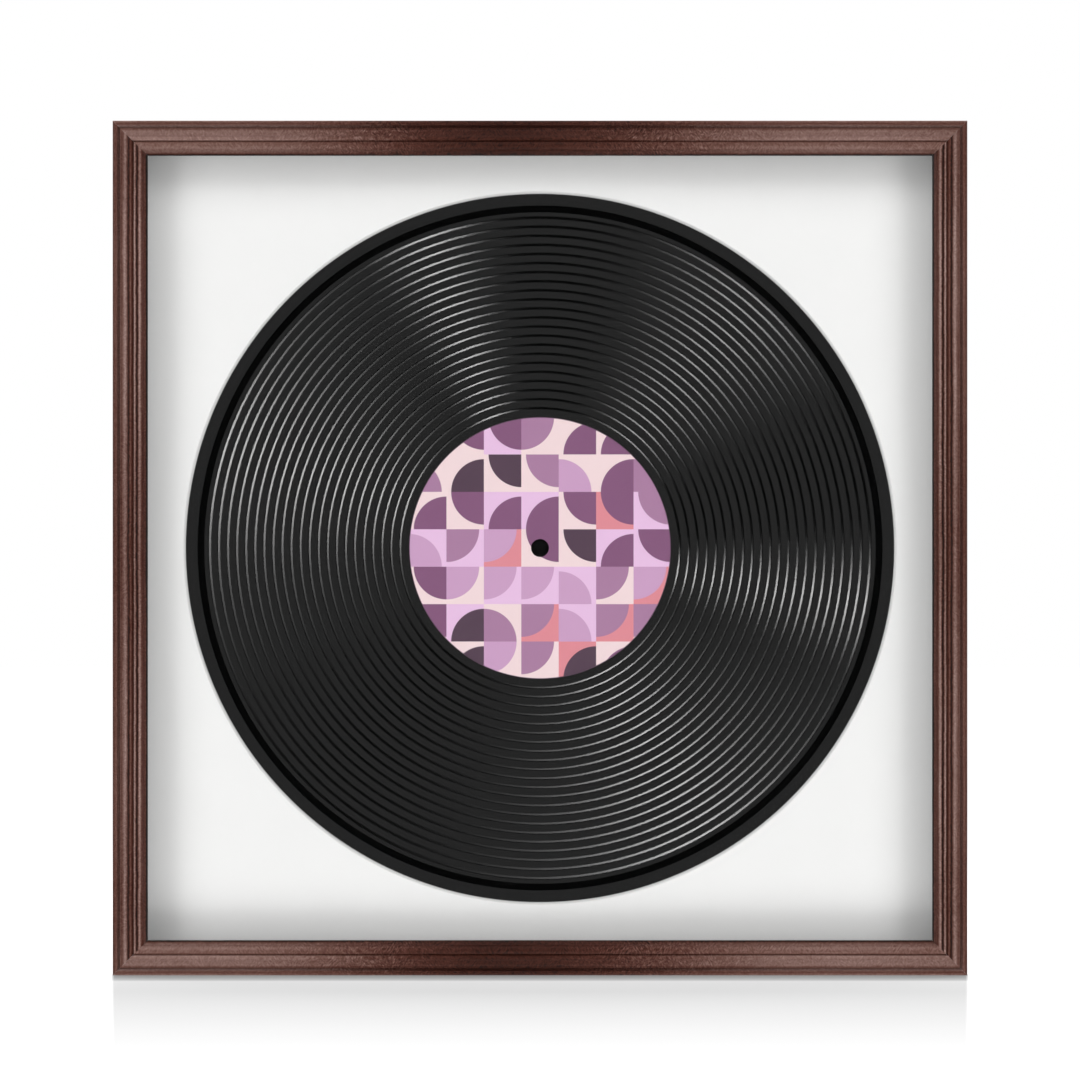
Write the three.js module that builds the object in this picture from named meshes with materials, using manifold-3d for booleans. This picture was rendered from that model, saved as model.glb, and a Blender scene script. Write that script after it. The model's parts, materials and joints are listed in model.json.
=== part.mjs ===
// A square wooden wall frame that shows a long-playing record behind a white mat with a round bevelled
// opening. Millimetres, +Z up, front towards -Y. The origin is where the hanger sits on its wall nail:
// y = 0 is the wall, z = 0 is the root of the hanger's middle notch.
import * as THREE from "three";
import { mergeVertices } from "three/addons/utils/BufferGeometryUtils.js";
import Module from "manifold-3d";

const wasm = await Module();
wasm.setup();

// Frame
const railFace = 14.7; // width of the moulding, seen from the front
const railDepth = 22; // crest of the moulding to the back of the rail
const rebateWidth = 6.2; // how far the lip covers the sheets behind it
const lipDepth = 7; // crest of the moulding to the rebate's floor
const glueLine = 0.1; // between two mitred ends, along the rail

// Moulding, from the outer edge inwards; drops are measured from the crest
const beadWidth = 2.1; // half-round at the outer edge
const beadDrop = 2.3;
const quirkWidth = 1; // flat-bottomed groove beside the bead
const quirkDrop = 3.8;
const coveFootDrop = 3;
const coveReach = 1.4; // how far each end of the cove keeps its direction
const crestFrom = 6.4; // rounded crest between the cove and the groove
const crestTo = 8.2;
const crestShoulder = 0.8;
const grooveWidth = 0.9;
const grooveDrop = 1.2;
const roundPlace = 10.2; // top of the inner round
const roundDrop = 0.2;
const roundEdge = 0.35; // groove's edge to the top of the round
const roundFoot = 12.9;
const roundFootDrop = 2.3;
const filletWidth = 0.7;
const filletDrop = 2.85;
const sightDrop = 3.2;

// Sheets in the rebate
const sheetFit = 0.5; // between a sheet's edge and the rebate's wall
const seatGap = 0.1; // between pieces that rest on each other
const glazingThickness = 2;
const matThickness = 1.4;
const centringThickness = 2.5;
const backingThickness = 3;
const backingInset = 0.3; // back of the board to the back of the rails
const spacerWidth = 5;

// Openings
const matCover = 1.75; // how far the foot of the mat's bevel lies over the record's rim
const matBorder = 16.05; // foot of the bevel to the moulding, at the middle of a side
const centringClearance = 0.5; // round the record's rim

// Record
const discDiameter = 302;
const discThickness = 2;
const playThickness = 1.4;
const holeDiameter = 7.4;
const labelDiameter = 110.6;
const labelThickness = 0.2;
const labelGap = 0.05;
const padMargin = 0.7; // label's edge to the edge of the raised pad
const padFall = 1.1;
const ringCount = 22;
const ringStart = 1.7; // foot of the pad to the middle of the innermost ring groove
const ringEnd = 2.7; // middle of the outermost ring groove to the lead-in
const ringWidth = 1.05;
const ringDepth = 0.35;
const runInWidth = 2.5; // smooth black lead-in
const runInDepth = 0.25;
const rimBand = 6.6; // lead-in to the rim
const runInWall = 0.3;
const rimRound = 0.8;

// Corner nails
const nailLeg = 6;
const nailSheet = 0.6;
const nailHeight = 9;
const nailPlace = 3; // outer edge to the middle of a leg
const nailSunk = 0.3;
const slotClearance = 0.3;

// Turn buttons and their screws
const buttonShare = 1 / 4; // of the frame's side, from its middle to a button
const buttonThickness = 1.2;
const buttonEnd = 3.9; // radius round the screw
const buttonNose = 2.9; // radius of the far end
const buttonReach = 13; // screw to the middle of the nose
const runningClearance = 0.15;
const screwRadius = 1.3;
const screwLength = 10;
const screwPoint = 2.2;
const screwHead = 2.8;
const screwHeadHeight = 1.6;
const screwHeadEdge = 0.5;

// Sawtooth hanger and its nails
const hangerHeight = 7.5;
const hangerSheet = 0.9;
const hangerBridge = 25; // raised stretch with the teeth
const hangerRise = 1.6; // room for a nail's head behind the bridge
const hangerRamp = 1.8;
const hangerEar = 5.7; // flat end with its nail in the middle
const hangerMargin = 0.6; // frame's top edge to the hanger
const hangerCorner = 2;
const toothCount = 9; // notches, one of them in the middle
const toothMargin = 0.8; // end of the bridge to the first tooth
const toothDepth = 1.6;
const tackRadius = 0.7;
const tackHead = 1.7;
const tackHeadHeight = 0.6;
const tackLength = 9;

// Wall bumpers
const bumperRadius = 4;
const bumperThickness = 3.5;
const bumperEdge = 0.8;
const bumperPlace = 18; // frame's side to the bumper's middle

// Facets
const discFacets = 48;
const openingFacets = 96;
const smallFacets = 16;
const screwFacets = 12;
const curveSteps = 5;
const crestSteps = 3;
const noseSteps = 7;
const overrun = 1; // how far a cutting shape runs past the face it opens

// Sizes and places that follow
const matOpening = discDiameter - 2 * matCover; // diameter at the back of the mat
const centringOpening = discDiameter + 2 * centringClearance;
const frameSide = matOpening + 2 * (matBorder + railFace); // outer square
const half = frameSide / 2;
const buttonPlace = buttonShare * frameSide; // middle of the side to a button
const hangerLength = hangerBridge + 2 * (hangerRamp + hangerEar);
const toothPitch = (hangerBridge - 2 * toothMargin) / toothCount;
const sheetSide = frameSide - 2 * (railFace - rebateWidth + sheetFit);
const ledge = railFace - rebateWidth; // back face of a rail
const wallPlane = seatGap + bumperThickness; // behind the back of the rails
const backingBack = -backingInset;
const centringBack = backingBack - backingThickness - seatGap;
const matBack = centringBack - centringThickness - seatGap;
const spacerBack = matBack - matThickness - seatGap;
const glazingBack = -railDepth + lipDepth + seatGap + glazingThickness;
const spacerDepth = spacerBack - glazingBack - seatGap;
const discMiddle = matBack + seatGap + discThickness / 2;
const hangerTop = half - hangerMargin;
const hangerTeeth = hangerTop - hangerHeight;
const hangerMiddle = hangerTop - hangerHeight / 2;
const hangSeat = hangerTeeth + toothDepth;

const finishes = {
  wood: { color: 0x6a463f, roughness: 0.5, metalness: 0 },
  clear: { color: 0xf4f8fa, roughness: 0.05, metalness: 0, transparent: true, opacity: 0.15 },
  mat: { color: 0xf6f6f5, roughness: 0.9, metalness: 0 },
  spacer: { color: 0x1f1f20, roughness: 0.8, metalness: 0 },
  vinyl: { color: 0x1c1c1e, roughness: 0.3, metalness: 0 },
  label: { color: 0xd9a9c8, roughness: 0.6, metalness: 0 },
  board: { color: 0x6f5238, roughness: 0.85, metalness: 0 },
  foam: { color: 0xdededc, roughness: 0.85, metalness: 0 },
  steel: { color: 0xb9b6ae, roughness: 0.35, metalness: 1 },
  brass: { color: 0xb9975b, roughness: 0.35, metalness: 1 },
  rubber: { color: 0x3a3a3c, roughness: 0.8, metalness: 0 },
};

// Helpers

function piece(name, geometry, finish) {
  const mesh = new THREE.Mesh(geometry, new THREE.MeshStandardMaterial(finishes[finish]));
  mesh.name = name;
  return mesh;
}

function solidOf(geometry) {
  const bare = geometry.clone();
  bare.deleteAttribute("normal");
  bare.deleteAttribute("uv");
  const merged = mergeVertices(bare);
  return new wasm.Manifold(
    new wasm.Mesh({
      numProp: 3,
      vertProperties: merged.attributes.position.array,
      triVerts: new Uint32Array(merged.index.array),
    }),
  );
}

function geometryOf(solid) {
  const { numProp, numVert, vertProperties, triVerts } = solid.getMesh();
  const places = new Float32Array(3 * numVert);
  for (let i = 0; i < numVert; i++) {
    places.set(vertProperties.subarray(i * numProp, i * numProp + 3), 3 * i);
  }
  const geometry = new THREE.BufferGeometry();
  geometry.setAttribute("position", new THREE.BufferAttribute(places, 3));
  geometry.setIndex(new THREE.BufferAttribute(new Uint32Array(triVerts), 1));
  geometry.computeVertexNormals();
  return geometry;
}

function cut(geometry, tools) {
  let solid = solidOf(geometry);
  for (const tool of tools) {
    solid = solid.subtract(solidOf(tool));
  }
  return geometryOf(solid);
}

// One closed outline from points and curves, without the points that two neighbours share.
function outline(parts) {
  const points = [];
  const add = (p) => {
    const last = points.at(-1);
    if (!last || !last.equals(p)) {
      points.push(p);
    }
  };
  for (const part of parts) {
    if (part instanceof THREE.Curve) {
      part.getPoints(part.steps).forEach(add);
    } else {
      add(new THREE.Vector2(...part));
    }
  }
  return points;
}

// A curve that leaves its first point towards one handle and reaches its last from the other.
function bend(from, handleFrom, handleTo, to, steps = curveSteps) {
  const curve = new THREE.CubicBezierCurve(
    new THREE.Vector2(...from),
    new THREE.Vector2(...handleFrom),
    new THREE.Vector2(...handleTo),
    new THREE.Vector2(...to),
  );
  curve.steps = steps;
  return curve;
}

function arc(x, y, radius, from, to, steps) {
  const curve = new THREE.EllipseCurve(x, y, radius, radius, from, to, to < from);
  curve.steps = steps;
  return curve;
}

// A flat outline in X and Z with its thickness along Y, from y = back towards the front.
function plate(shape, thickness, back) {
  const geometry = new THREE.ExtrudeGeometry(shape, { depth: thickness, bevelEnabled: false });
  return geometry.rotateX(Math.PI / 2).translate(0, back, 0);
}

function sheet(width, height, thickness, back) {
  return new THREE.BoxGeometry(width, thickness, height).translate(0, back - thickness / 2, 0);
}

// A round piece on the Y axis. The outline runs outwards on the front and back inwards behind.
function turned(points, facets) {
  return new THREE.LatheGeometry([...points, points[0]], facets);
}

function rod(radius, from, to, facets) {
  const geometry = new THREE.CylinderGeometry(radius, radius, to - from, facets);
  return geometry.translate(0, (from + to) / 2, 0);
}

// Rails

// The moulding's section: first number from the outer edge inwards, second up from the rail's back.
function mouldingOutline() {
  const crest = railDepth;
  const bead = beadWidth / 2;
  const coveFoot = beadWidth + quirkWidth;
  const grooveTo = crestTo + grooveWidth;
  const crestMiddle = (crestFrom + crestTo) / 2;
  return outline([
    [0, 0],
    [ledge, 0],
    [ledge, crest - lipDepth],
    [railFace, crest - lipDepth],
    [railFace, crest - sightDrop],
    [railFace - filletWidth, crest - filletDrop],
    bend(
      [roundFoot, crest - roundFootDrop],
      [roundFoot, crest - roundFootDrop / 2],
      [(roundPlace + roundFoot) / 2, crest - roundDrop],
      [roundPlace, crest - roundDrop],
    ),
    [grooveTo, crest - roundDrop - roundEdge],
    [crestTo + grooveWidth / 2, crest - grooveDrop],
    bend(
      [crestTo, crest - crestShoulder / 2],
      [crestTo, crest],
      [crestTo, crest],
      [crestMiddle, crest],
      crestSteps,
    ),
    bend(
      [crestMiddle, crest],
      [(crestFrom + crestMiddle) / 2, crest],
      [(crestFrom + crestMiddle) / 2, crest],
      [crestFrom, crest - crestShoulder],
      crestSteps,
    ),
    bend(
      [crestFrom, crest - crestShoulder],
      [crestFrom - coveReach, crest - crestShoulder - coveReach],
      [coveFoot + coveReach, crest - coveFootDrop],
      [coveFoot, crest - coveFootDrop],
    ),
    [coveFoot, crest - quirkDrop],
    [beadWidth, crest - quirkDrop],
    arc(bead, crest - beadDrop - bead, bead, 0, Math.PI, curveSteps + 1),
  ]);
}

// The section carried along X and sheared at both ends to the mitre planes.
function railBlank() {
  const section = new THREE.Shape(mouldingOutline());
  const geometry = new THREE.ExtrudeGeometry(section, { depth: 1, bevelEnabled: false });
  const place = geometry.attributes.position;
  for (let i = 0; i < place.count; i++) {
    const inwards = place.getX(i);
    const up = place.getY(i);
    const end = 2 * place.getZ(i) - 1;
    place.setXYZ(i, end * (half - inwards - glueLine / 2), -up, inwards - half);
  }
  return geometry;
}

// Two legs at a right angle in X and Z, joined where they cross the mitre of the lower left corner.
function cornerNail(margin, back, height) {
  const near = nailPlace - half - nailSheet / 2 - margin;
  const inner = near + nailSheet + 2 * margin;
  const far = near + nailLeg + 2 * margin;
  const shape = new THREE.Shape(
    outline([
      [near, near],
      [far, near],
      [far, inner],
      [inner, inner],
      [inner, far],
      [near, far],
    ]),
  );
  return plate(shape, height, back);
}

function rail(tackPlaces) {
  const depthOfCut = nailSunk + nailHeight + slotClearance;
  const slot = () => cornerNail(slotClearance, overrun, overrun + depthOfCut);
  const screwCut = () =>
    rod(screwRadius + slotClearance, -screwLength - slotClearance, overrun, screwFacets);
  const tackCut = () =>
    rod(tackRadius + slotClearance, -tackLength - slotClearance, overrun, screwFacets);
  const screwLine = ledge / 2 - half;
  return cut(railBlank(), [
    slot(),
    slot().rotateY(-Math.PI / 2),
    screwCut().translate(-buttonPlace, 0, screwLine),
    screwCut().translate(buttonPlace, 0, screwLine),
    ...tackPlaces.map((x) => tackCut().translate(x, 0, -hangerMiddle)),
  ]);
}

// Turn button: a round end on the screw, tapering to a rounded nose that lies over the backing.
function turnButton() {
  const lean = Math.asin((buttonEnd - buttonNose) / buttonReach);
  const shape = new THREE.Shape(
    outline([
      arc(0, 0, buttonEnd, Math.PI - lean, 2 * Math.PI + lean, 2 * noseSteps),
      arc(0, buttonReach, buttonNose, lean, Math.PI - lean, noseSteps),
    ]),
  );
  const eye = screwRadius + runningClearance;
  shape.holes.push(new THREE.Path(arc(0, 0, eye, 0, 2 * Math.PI, screwFacets).getPoints(screwFacets)));
  return plate(shape, buttonThickness, seatGap + buttonThickness);
}

function fastener(shankRadius, length, point, headRadius, headHeight, headEdge, headSeat) {
  const crown = headSeat + headHeight;
  const edge = headSeat + headEdge;
  const dome = bend(
    [headRadius, edge],
    [headRadius, (edge + crown) / 2],
    [headRadius / 2, crown],
    [0, crown],
  );
  const points = outline([
    [0, -length],
    [shankRadius, point - length],
    [shankRadius, headSeat],
    [headRadius, headSeat],
    dome,
  ]);
  return new THREE.LatheGeometry(points, screwFacets);
}

function buttonScrew() {
  const seat = 2 * seatGap + buttonThickness;
  return fastener(screwRadius, screwLength, screwPoint, screwHead, screwHeadHeight, screwHeadEdge, seat);
}

function hangerTack() {
  const seat = 2 * seatGap + hangerSheet;
  return fastener(tackRadius, tackLength, tackRadius, tackHead, tackHeadHeight, tackHeadHeight / 2, seat);
}

// Sawtooth hanger: a bridged strip seen from above, trimmed to the toothed front outline.
function sawtoothHanger() {
  const end = hangerLength / 2;
  const bridgeEnd = hangerBridge / 2;
  const low = seatGap;
  const high = seatGap + hangerRise;
  const ribbon = outline([
    [-end, low],
    [-bridgeEnd - hangerRamp, low],
    [-bridgeEnd, high],
    [bridgeEnd, high],
    [bridgeEnd + hangerRamp, low],
    [end, low],
    [end, low + hangerSheet],
    [bridgeEnd + hangerRamp, low + hangerSheet],
    [bridgeEnd, high + hangerSheet],
    [-bridgeEnd, high + hangerSheet],
    [-bridgeEnd - hangerRamp, low + hangerSheet],
    [-end, low + hangerSheet],
  ]);
  const strip = new THREE.ExtrudeGeometry(new THREE.Shape(ribbon), {
    depth: hangerHeight,
    bevelEnabled: false,
  }).translate(0, 0, hangerTeeth);

  const firstTip = (-toothCount * toothPitch) / 2;
  const teeth = Array.from({ length: toothCount }, (_, i) => [
    [firstTip + i * toothPitch, hangerTeeth],
    [firstTip + (i + 1 / 2) * toothPitch, hangSeat],
  ]).flat();
  const edge = outline([
    arc(-end + hangerCorner, hangerTeeth + hangerCorner, hangerCorner, Math.PI, 1.5 * Math.PI, curveSteps),
    ...teeth,
    [-firstTip, hangerTeeth],
    arc(end - hangerCorner, hangerTeeth + hangerCorner, hangerCorner, -Math.PI / 2, 0, curveSteps),
    arc(end - hangerCorner, hangerTop - hangerCorner, hangerCorner, 0, Math.PI / 2, curveSteps),
    arc(-end + hangerCorner, hangerTop - hangerCorner, hangerCorner, Math.PI / 2, Math.PI, curveSteps),
  ]);
  const front = new THREE.Shape(edge);
  for (const x of tackPlaces) {
    const eye = arc(x, hangerMiddle, tackRadius + runningClearance, 0, 2 * Math.PI);
    front.holes.push(new THREE.Path(eye.getPoints(screwFacets)));
  }
  const depth = hangerRise + hangerSheet + seatGap + 2 * overrun;
  const block = plate(front, depth, depth - overrun);
  return geometryOf(solidOf(strip).intersect(solidOf(block)));
}

function wallBumper() {
  const back = seatGap + bumperThickness;
  const points = outline([
    [0, seatGap],
    [bumperRadius, seatGap],
    [bumperRadius, back - bumperEdge],
    [bumperRadius - bumperEdge, back],
    [0, back],
  ]);
  return new THREE.LatheGeometry(points, smallFacets);
}

// Sheets

function matBoard() {
  const small = matOpening / 2;
  const back = matBack + overrun;
  const front = matBack - matThickness - overrun;
  const bevel = new THREE.LatheGeometry(
    outline([
      [0, front],
      [small + matThickness + overrun, front],
      [small - overrun, back],
      [0, back],
    ]),
    openingFacets,
  );
  return cut(sheet(sheetSide, sheetSide, matThickness, matBack), [bevel]);
}

function centringBoard() {
  const hole = rod(
    centringOpening / 2,
    centringBack - centringThickness - overrun,
    centringBack + overrun,
    openingFacets,
  );
  return cut(sheet(sheetSide, sheetSide, centringThickness, centringBack), [hole]);
}

// Record

function recordDisc() {
  const hole = holeDiameter / 2;
  const rim = discDiameter / 2;
  const bead = discThickness / 2;
  const play = playThickness / 2;
  const pad = bead - labelThickness - labelGap;
  const padEdge = labelDiameter / 2 + padMargin;
  const runInTo = rim - rimBand;
  const runInFrom = runInTo - runInWidth;
  const firstRing = padEdge + padFall + ringStart;
  const pitch = (runInFrom - ringEnd - firstRing) / (ringCount - 1);
  const rings = Array.from({ length: ringCount }, (_, i) => {
    const middle = firstRing + i * pitch;
    return [
      [middle - ringWidth / 2, -play],
      [middle, ringDepth - play],
      [middle + ringWidth / 2, -play],
    ];
  }).flat();
  const points = outline([
    [hole, -pad],
    [padEdge, -pad],
    [padEdge + padFall, -play],
    ...rings,
    [runInFrom, -play],
    [runInFrom + runInWall, runInDepth - play],
    [runInTo - runInWall, runInDepth - play],
    [runInTo, -bead],
    [rim - rimRound, -bead],
    [rim, -bead + rimRound],
    [rim, bead - rimRound],
    [rim - rimRound, bead],
    [runInTo, bead],
    [runInTo - runInWall, play],
    [padEdge + padFall, play],
    [padEdge, pad],
    [hole, pad],
  ]);
  return turned(points, discFacets).translate(0, discMiddle, 0);
}

// Side is -1 for the front label and 1 for the back one.
function recordLabel(side) {
  const hole = holeDiameter / 2;
  const edge = labelDiameter / 2;
  const outerFace = discThickness / 2;
  const low = side < 0 ? -outerFace : outerFace - labelThickness;
  const points = outline([
    [hole, low],
    [edge, low],
    [edge, low + labelThickness],
    [hole, low + labelThickness],
  ]);
  return turned(points, discFacets).translate(0, discMiddle, 0);
}

// Assembly, about the middle of the frame with y = 0 on the back of the rails

const assembly = new THREE.Group();
assembly.position.set(0, -wallPlane, -hangSeat);

const tackPlaces = [(hangerEar - hangerLength) / 2, (hangerLength - hangerEar) / 2];
const quarter = Math.PI / 2;
const sides = [
  { name: "bottom", turn: 0, ends: ["left", "right"], corner: "bottom_left" },
  { name: "left", turn: quarter, ends: ["upper", "lower"], corner: "top_left" },
  { name: "top", turn: 2 * quarter, ends: ["right", "left"], corner: "top_right" },
  { name: "right", turn: -quarter, ends: ["lower", "upper"], corner: "bottom_right" },
];

for (const { name, turn, ends, corner } of sides) {
  const side = new THREE.Group();
  side.rotation.y = turn;
  side.add(piece(`rail_${name}`, rail(name === "top" ? tackPlaces : []), "wood"));
  side.add(piece(`corner_nail_${corner}`, cornerNail(0, -nailSunk, nailHeight), "steel"));

  const upright = name === "left" || name === "right";
  const spacerLength = sheetSide - (upright ? 2 * (spacerWidth + seatGap) : 0);
  const spacer = piece(`spacer_${name}`, sheet(spacerLength, spacerWidth, spacerDepth, spacerBack), "spacer");
  spacer.position.z = (spacerWidth - sheetSide) / 2;
  side.add(spacer);

  ends.forEach((end, i) => {
    const station = new THREE.Group();
    station.position.set(i === 0 ? -buttonPlace : buttonPlace, 0, ledge / 2 - half);
    station.add(piece(`turn_button_${name}_${end}`, turnButton(), "brass"));
    station.add(piece(`button_screw_${name}_${end}`, buttonScrew(), "brass"));
    side.add(station);
  });
  assembly.add(side);
}

assembly.add(piece("glazing_panel", sheet(sheetSide, sheetSide, glazingThickness, glazingBack), "clear"));
assembly.add(piece("mat_board", matBoard(), "mat"));
assembly.add(piece("centring_board", centringBoard(), "foam"));
assembly.add(piece("backing_board", sheet(sheetSide, sheetSide, backingThickness, backingBack), "board"));
assembly.add(piece("record_disc", recordDisc(), "vinyl"));
assembly.add(piece("record_label_front", recordLabel(-1), "label"));
assembly.add(piece("record_label_back", recordLabel(1), "label"));
assembly.add(piece("sawtooth_hanger", sawtoothHanger(), "steel"));

["left", "right"].forEach((name, i) => {
  const tack = piece(`hanger_nail_${name}`, hangerTack(), "steel");
  tack.position.set(tackPlaces[i], 0, hangerMiddle);
  const bumper = piece(`wall_bumper_${name}`, wallBumper(), "rubber");
  const sideways = half - bumperPlace;
  bumper.position.set(i === 0 ? -sideways : sideways, 0, ledge / 2 - half);
  assembly.add(tack, bumper);
});

const frame = new THREE.Group();
frame.add(assembly);
export default frame;
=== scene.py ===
# %% [markdown]
# A wall frame for a long-playing record. The model of its construction is already in real metres, so
# every surface made here takes its place from that model.

# %% Load the construction
import json
import math

import bmesh
import bpy
import numpy as np
from mathutils import Matrix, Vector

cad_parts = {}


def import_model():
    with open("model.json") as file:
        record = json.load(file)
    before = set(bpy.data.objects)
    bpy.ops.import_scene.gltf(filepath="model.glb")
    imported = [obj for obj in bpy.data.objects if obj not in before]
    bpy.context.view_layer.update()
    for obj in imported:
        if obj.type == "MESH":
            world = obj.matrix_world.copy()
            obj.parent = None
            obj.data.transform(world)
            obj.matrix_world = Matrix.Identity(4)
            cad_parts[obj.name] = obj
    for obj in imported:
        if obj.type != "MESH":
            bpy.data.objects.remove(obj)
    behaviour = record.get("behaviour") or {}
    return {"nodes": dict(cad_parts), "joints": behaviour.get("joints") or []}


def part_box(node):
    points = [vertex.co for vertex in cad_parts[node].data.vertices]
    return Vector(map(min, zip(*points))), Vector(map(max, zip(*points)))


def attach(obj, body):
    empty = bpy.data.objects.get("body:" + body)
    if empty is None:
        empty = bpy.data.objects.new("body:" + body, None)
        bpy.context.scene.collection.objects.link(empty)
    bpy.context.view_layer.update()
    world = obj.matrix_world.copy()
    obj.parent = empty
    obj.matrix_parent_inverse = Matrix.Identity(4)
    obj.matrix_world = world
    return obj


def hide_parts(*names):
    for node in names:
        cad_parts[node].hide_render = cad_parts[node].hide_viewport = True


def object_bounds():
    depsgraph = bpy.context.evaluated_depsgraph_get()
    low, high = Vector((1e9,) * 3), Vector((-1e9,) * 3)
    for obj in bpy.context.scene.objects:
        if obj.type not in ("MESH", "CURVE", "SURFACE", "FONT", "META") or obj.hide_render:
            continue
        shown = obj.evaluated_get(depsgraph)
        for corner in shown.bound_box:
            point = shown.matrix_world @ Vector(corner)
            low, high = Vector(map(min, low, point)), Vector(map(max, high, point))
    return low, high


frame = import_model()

cad_low, cad_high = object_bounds()
print("construction box in metres:", tuple(cad_low), tuple(cad_high))

# %% [markdown]
# The front looks along -Y and the frame stands up in Z. Nearly every place below is measured from three
# things: the middle of the square, the wall behind the frame, and the crest of the moulding in front.

# %% Measure the frame
MM = 0.001


def span(node):
    """Lowest and highest corner of a piece of the construction, as two arrays in metres."""
    low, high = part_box(node)
    return np.array(low), np.array(high)


rail_low, rail_high = span("rail_bottom")
HALF = cad_high[0]
MIDDLE = cad_high[2] - HALF
FLOOR = cad_low[2]
CREST = rail_low[1]
RAIL_BACK = rail_high[1]
RAIL_DEPTH = RAIL_BACK - CREST
RAIL_FACE = rail_high[2] - rail_low[2]
print("half side", HALF, "middle height", MIDDLE, "rail", RAIL_FACE, "by", RAIL_DEPTH)

# %% [markdown]
# The photograph was taken straight on with a long lens. One pixel of its 1080 is 0.4217 mm at the depth
# of the sheets, so the lens follows from the distance, and the camera sits 8 pixels above the frame's
# middle.

# %% Camera
PHOTO_SIDE = 1080
PIXEL = 0.4217 * MM
FRAME_MIDDLE_DOWN = 8
SENSOR = 36
CAMERA_DISTANCE = 5
SCALE_DEPTH = 9 * MM

camera_data = bpy.data.cameras.new("camera")
camera_data.sensor_width = SENSOR
camera_data.lens = SENSOR * (CAMERA_DISTANCE + SCALE_DEPTH) / (PHOTO_SIDE * PIXEL)
camera_data.clip_start = 0.05
camera_data.clip_end = 60
camera = bpy.data.objects.new("camera", camera_data)
camera.location = (0, CREST - CAMERA_DISTANCE, MIDDLE + FRAME_MIDDLE_DOWN * PIXEL)
camera.rotation_euler = (math.pi / 2, 0, 0)
scene = bpy.context.scene
scene.collection.objects.link(camera)
scene.camera = camera
scene.view_settings.view_transform = "Standard"
print("lens", round(camera_data.lens, 1), "mm")

# %% [markdown]
# A few small tools serve the whole lesson. Colours are written as a painter's hex values, which a monitor
# shows, and have to become linear light. One call adds a node with its settings, its links and its stops.

# %% Tools for colours and nodes
# Sockets of a Mix node that mixes colours: its two inputs and its result.
COLOUR_A, COLOUR_B, MIXED = 6, 7, 2


def linear(hex_colour):
    """Linear red, green, blue and alpha of an sRGB hex colour: the display curve undone for each channel."""
    shown = np.array([int(hex_colour[i : i + 2], 16) / 255 for i in (1, 3, 5)])
    light = np.where(shown <= 0.04045, shown / 12.92, ((shown + 0.055) / 1.055) ** 2.4)
    return (*light.tolist(), 1.0)


def add(tree, kind, inputs=None, stops=None, **settings):
    """Adds one node. inputs maps sockets to values or to other nodes' outputs. stops are a ramp's places
    with their colours, in ascending order."""
    made = tree.nodes.new(kind)
    for name, value in settings.items():
        setattr(made, name, value)
    for key, value in (inputs or {}).items():
        if isinstance(value, bpy.types.NodeSocket):
            tree.links.new(value, made.inputs[key])
        else:
            made.inputs[key].default_value = value
    for i, (place, colour) in enumerate(stops or []):
        mark = made.color_ramp.elements[i] if i < 2 else made.color_ramp.elements.new(place)
        mark.position = place
        mark.color = colour
    return made


def material(name):
    """An empty material, its node tree, and its output's surface socket."""
    made = bpy.data.materials.new(name)
    made.use_nodes = True
    made.node_tree.nodes.clear()
    end = made.node_tree.nodes.new("ShaderNodeOutputMaterial")
    return made, made.node_tree, end.inputs["Surface"]

# %% [markdown]
# The room is a plain white one. What only scatters light gets a dimmer share of it, which fills the
# shade, while the camera, mirrors and clear pieces see it white.

# %% Room
AMBIENT = 0.12

world = bpy.data.worlds.new("room")
world.use_nodes = True
scene.world = world
sky = world.node_tree
sky.nodes.clear()
ray = add(sky, "ShaderNodeLightPath")
seen = add(sky, "ShaderNodeMath", {0: ray.outputs["Is Camera Ray"], 1: ray.outputs["Is Glossy Ray"]},
           operation="MAXIMUM")
seen = add(sky, "ShaderNodeMath", {0: seen.outputs[0], 1: ray.outputs["Is Transmission Ray"]},
           operation="MAXIMUM")
room_light = add(sky, "ShaderNodeMapRange", {"Value": seen.outputs[0], "To Min": AMBIENT, "To Max": 1.0})
sky_shader = add(sky, "ShaderNodeBackground", {"Color": (1, 1, 1, 1), "Strength": room_light.outputs[0]})
add(sky, "ShaderNodeOutputWorld", {"Surface": sky_shader.outputs[0]})
print("room light on matt surfaces:", AMBIENT)

# %% [markdown]
# Every new piece is a surface worked out as whole arrays: a grid of points, whose faces follow from the
# grid's size alone. Doubles are merged and faces turned outwards as soon as a mesh exists, and only edges
# sharper than a given angle are shaded as edges.

# %% Tools for surfaces
def grid_faces(rows, columns, round_rows=False):
    """Quads between neighbours of a grid of points. A row closes on itself, and so do the rows if round."""
    i, j = np.meshgrid(np.arange(rows if round_rows else rows - 1), np.arange(columns), indexing="ij")
    far_i, far_j = (i + 1) % rows, (j + 1) % columns
    corners = [i * columns + j, i * columns + far_j, far_i * columns + far_j, far_i * columns + j]
    return np.stack(corners, -1).reshape(-1, 4)


EDGE_ANGLE = math.radians(32)
DOUBLES = 1e-7


def finish_mesh(mesh, finishes, smooth=EDGE_ANGLE):
    """Merges doubles at poles, turns the faces outwards, and shades smooth up to the angle given."""
    shell = bmesh.new()
    shell.from_mesh(mesh)
    bmesh.ops.remove_doubles(shell, verts=shell.verts, dist=DOUBLES)
    bmesh.ops.recalc_face_normals(shell, faces=shell.faces)
    shell.to_mesh(mesh)
    shell.free()
    mesh.polygons.foreach_set("use_smooth", np.ones(len(mesh.polygons), bool))
    mesh.set_sharp_from_angle(angle=smooth)
    mesh.materials.clear()
    for finish in finishes:
        mesh.materials.append(finish)


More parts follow.
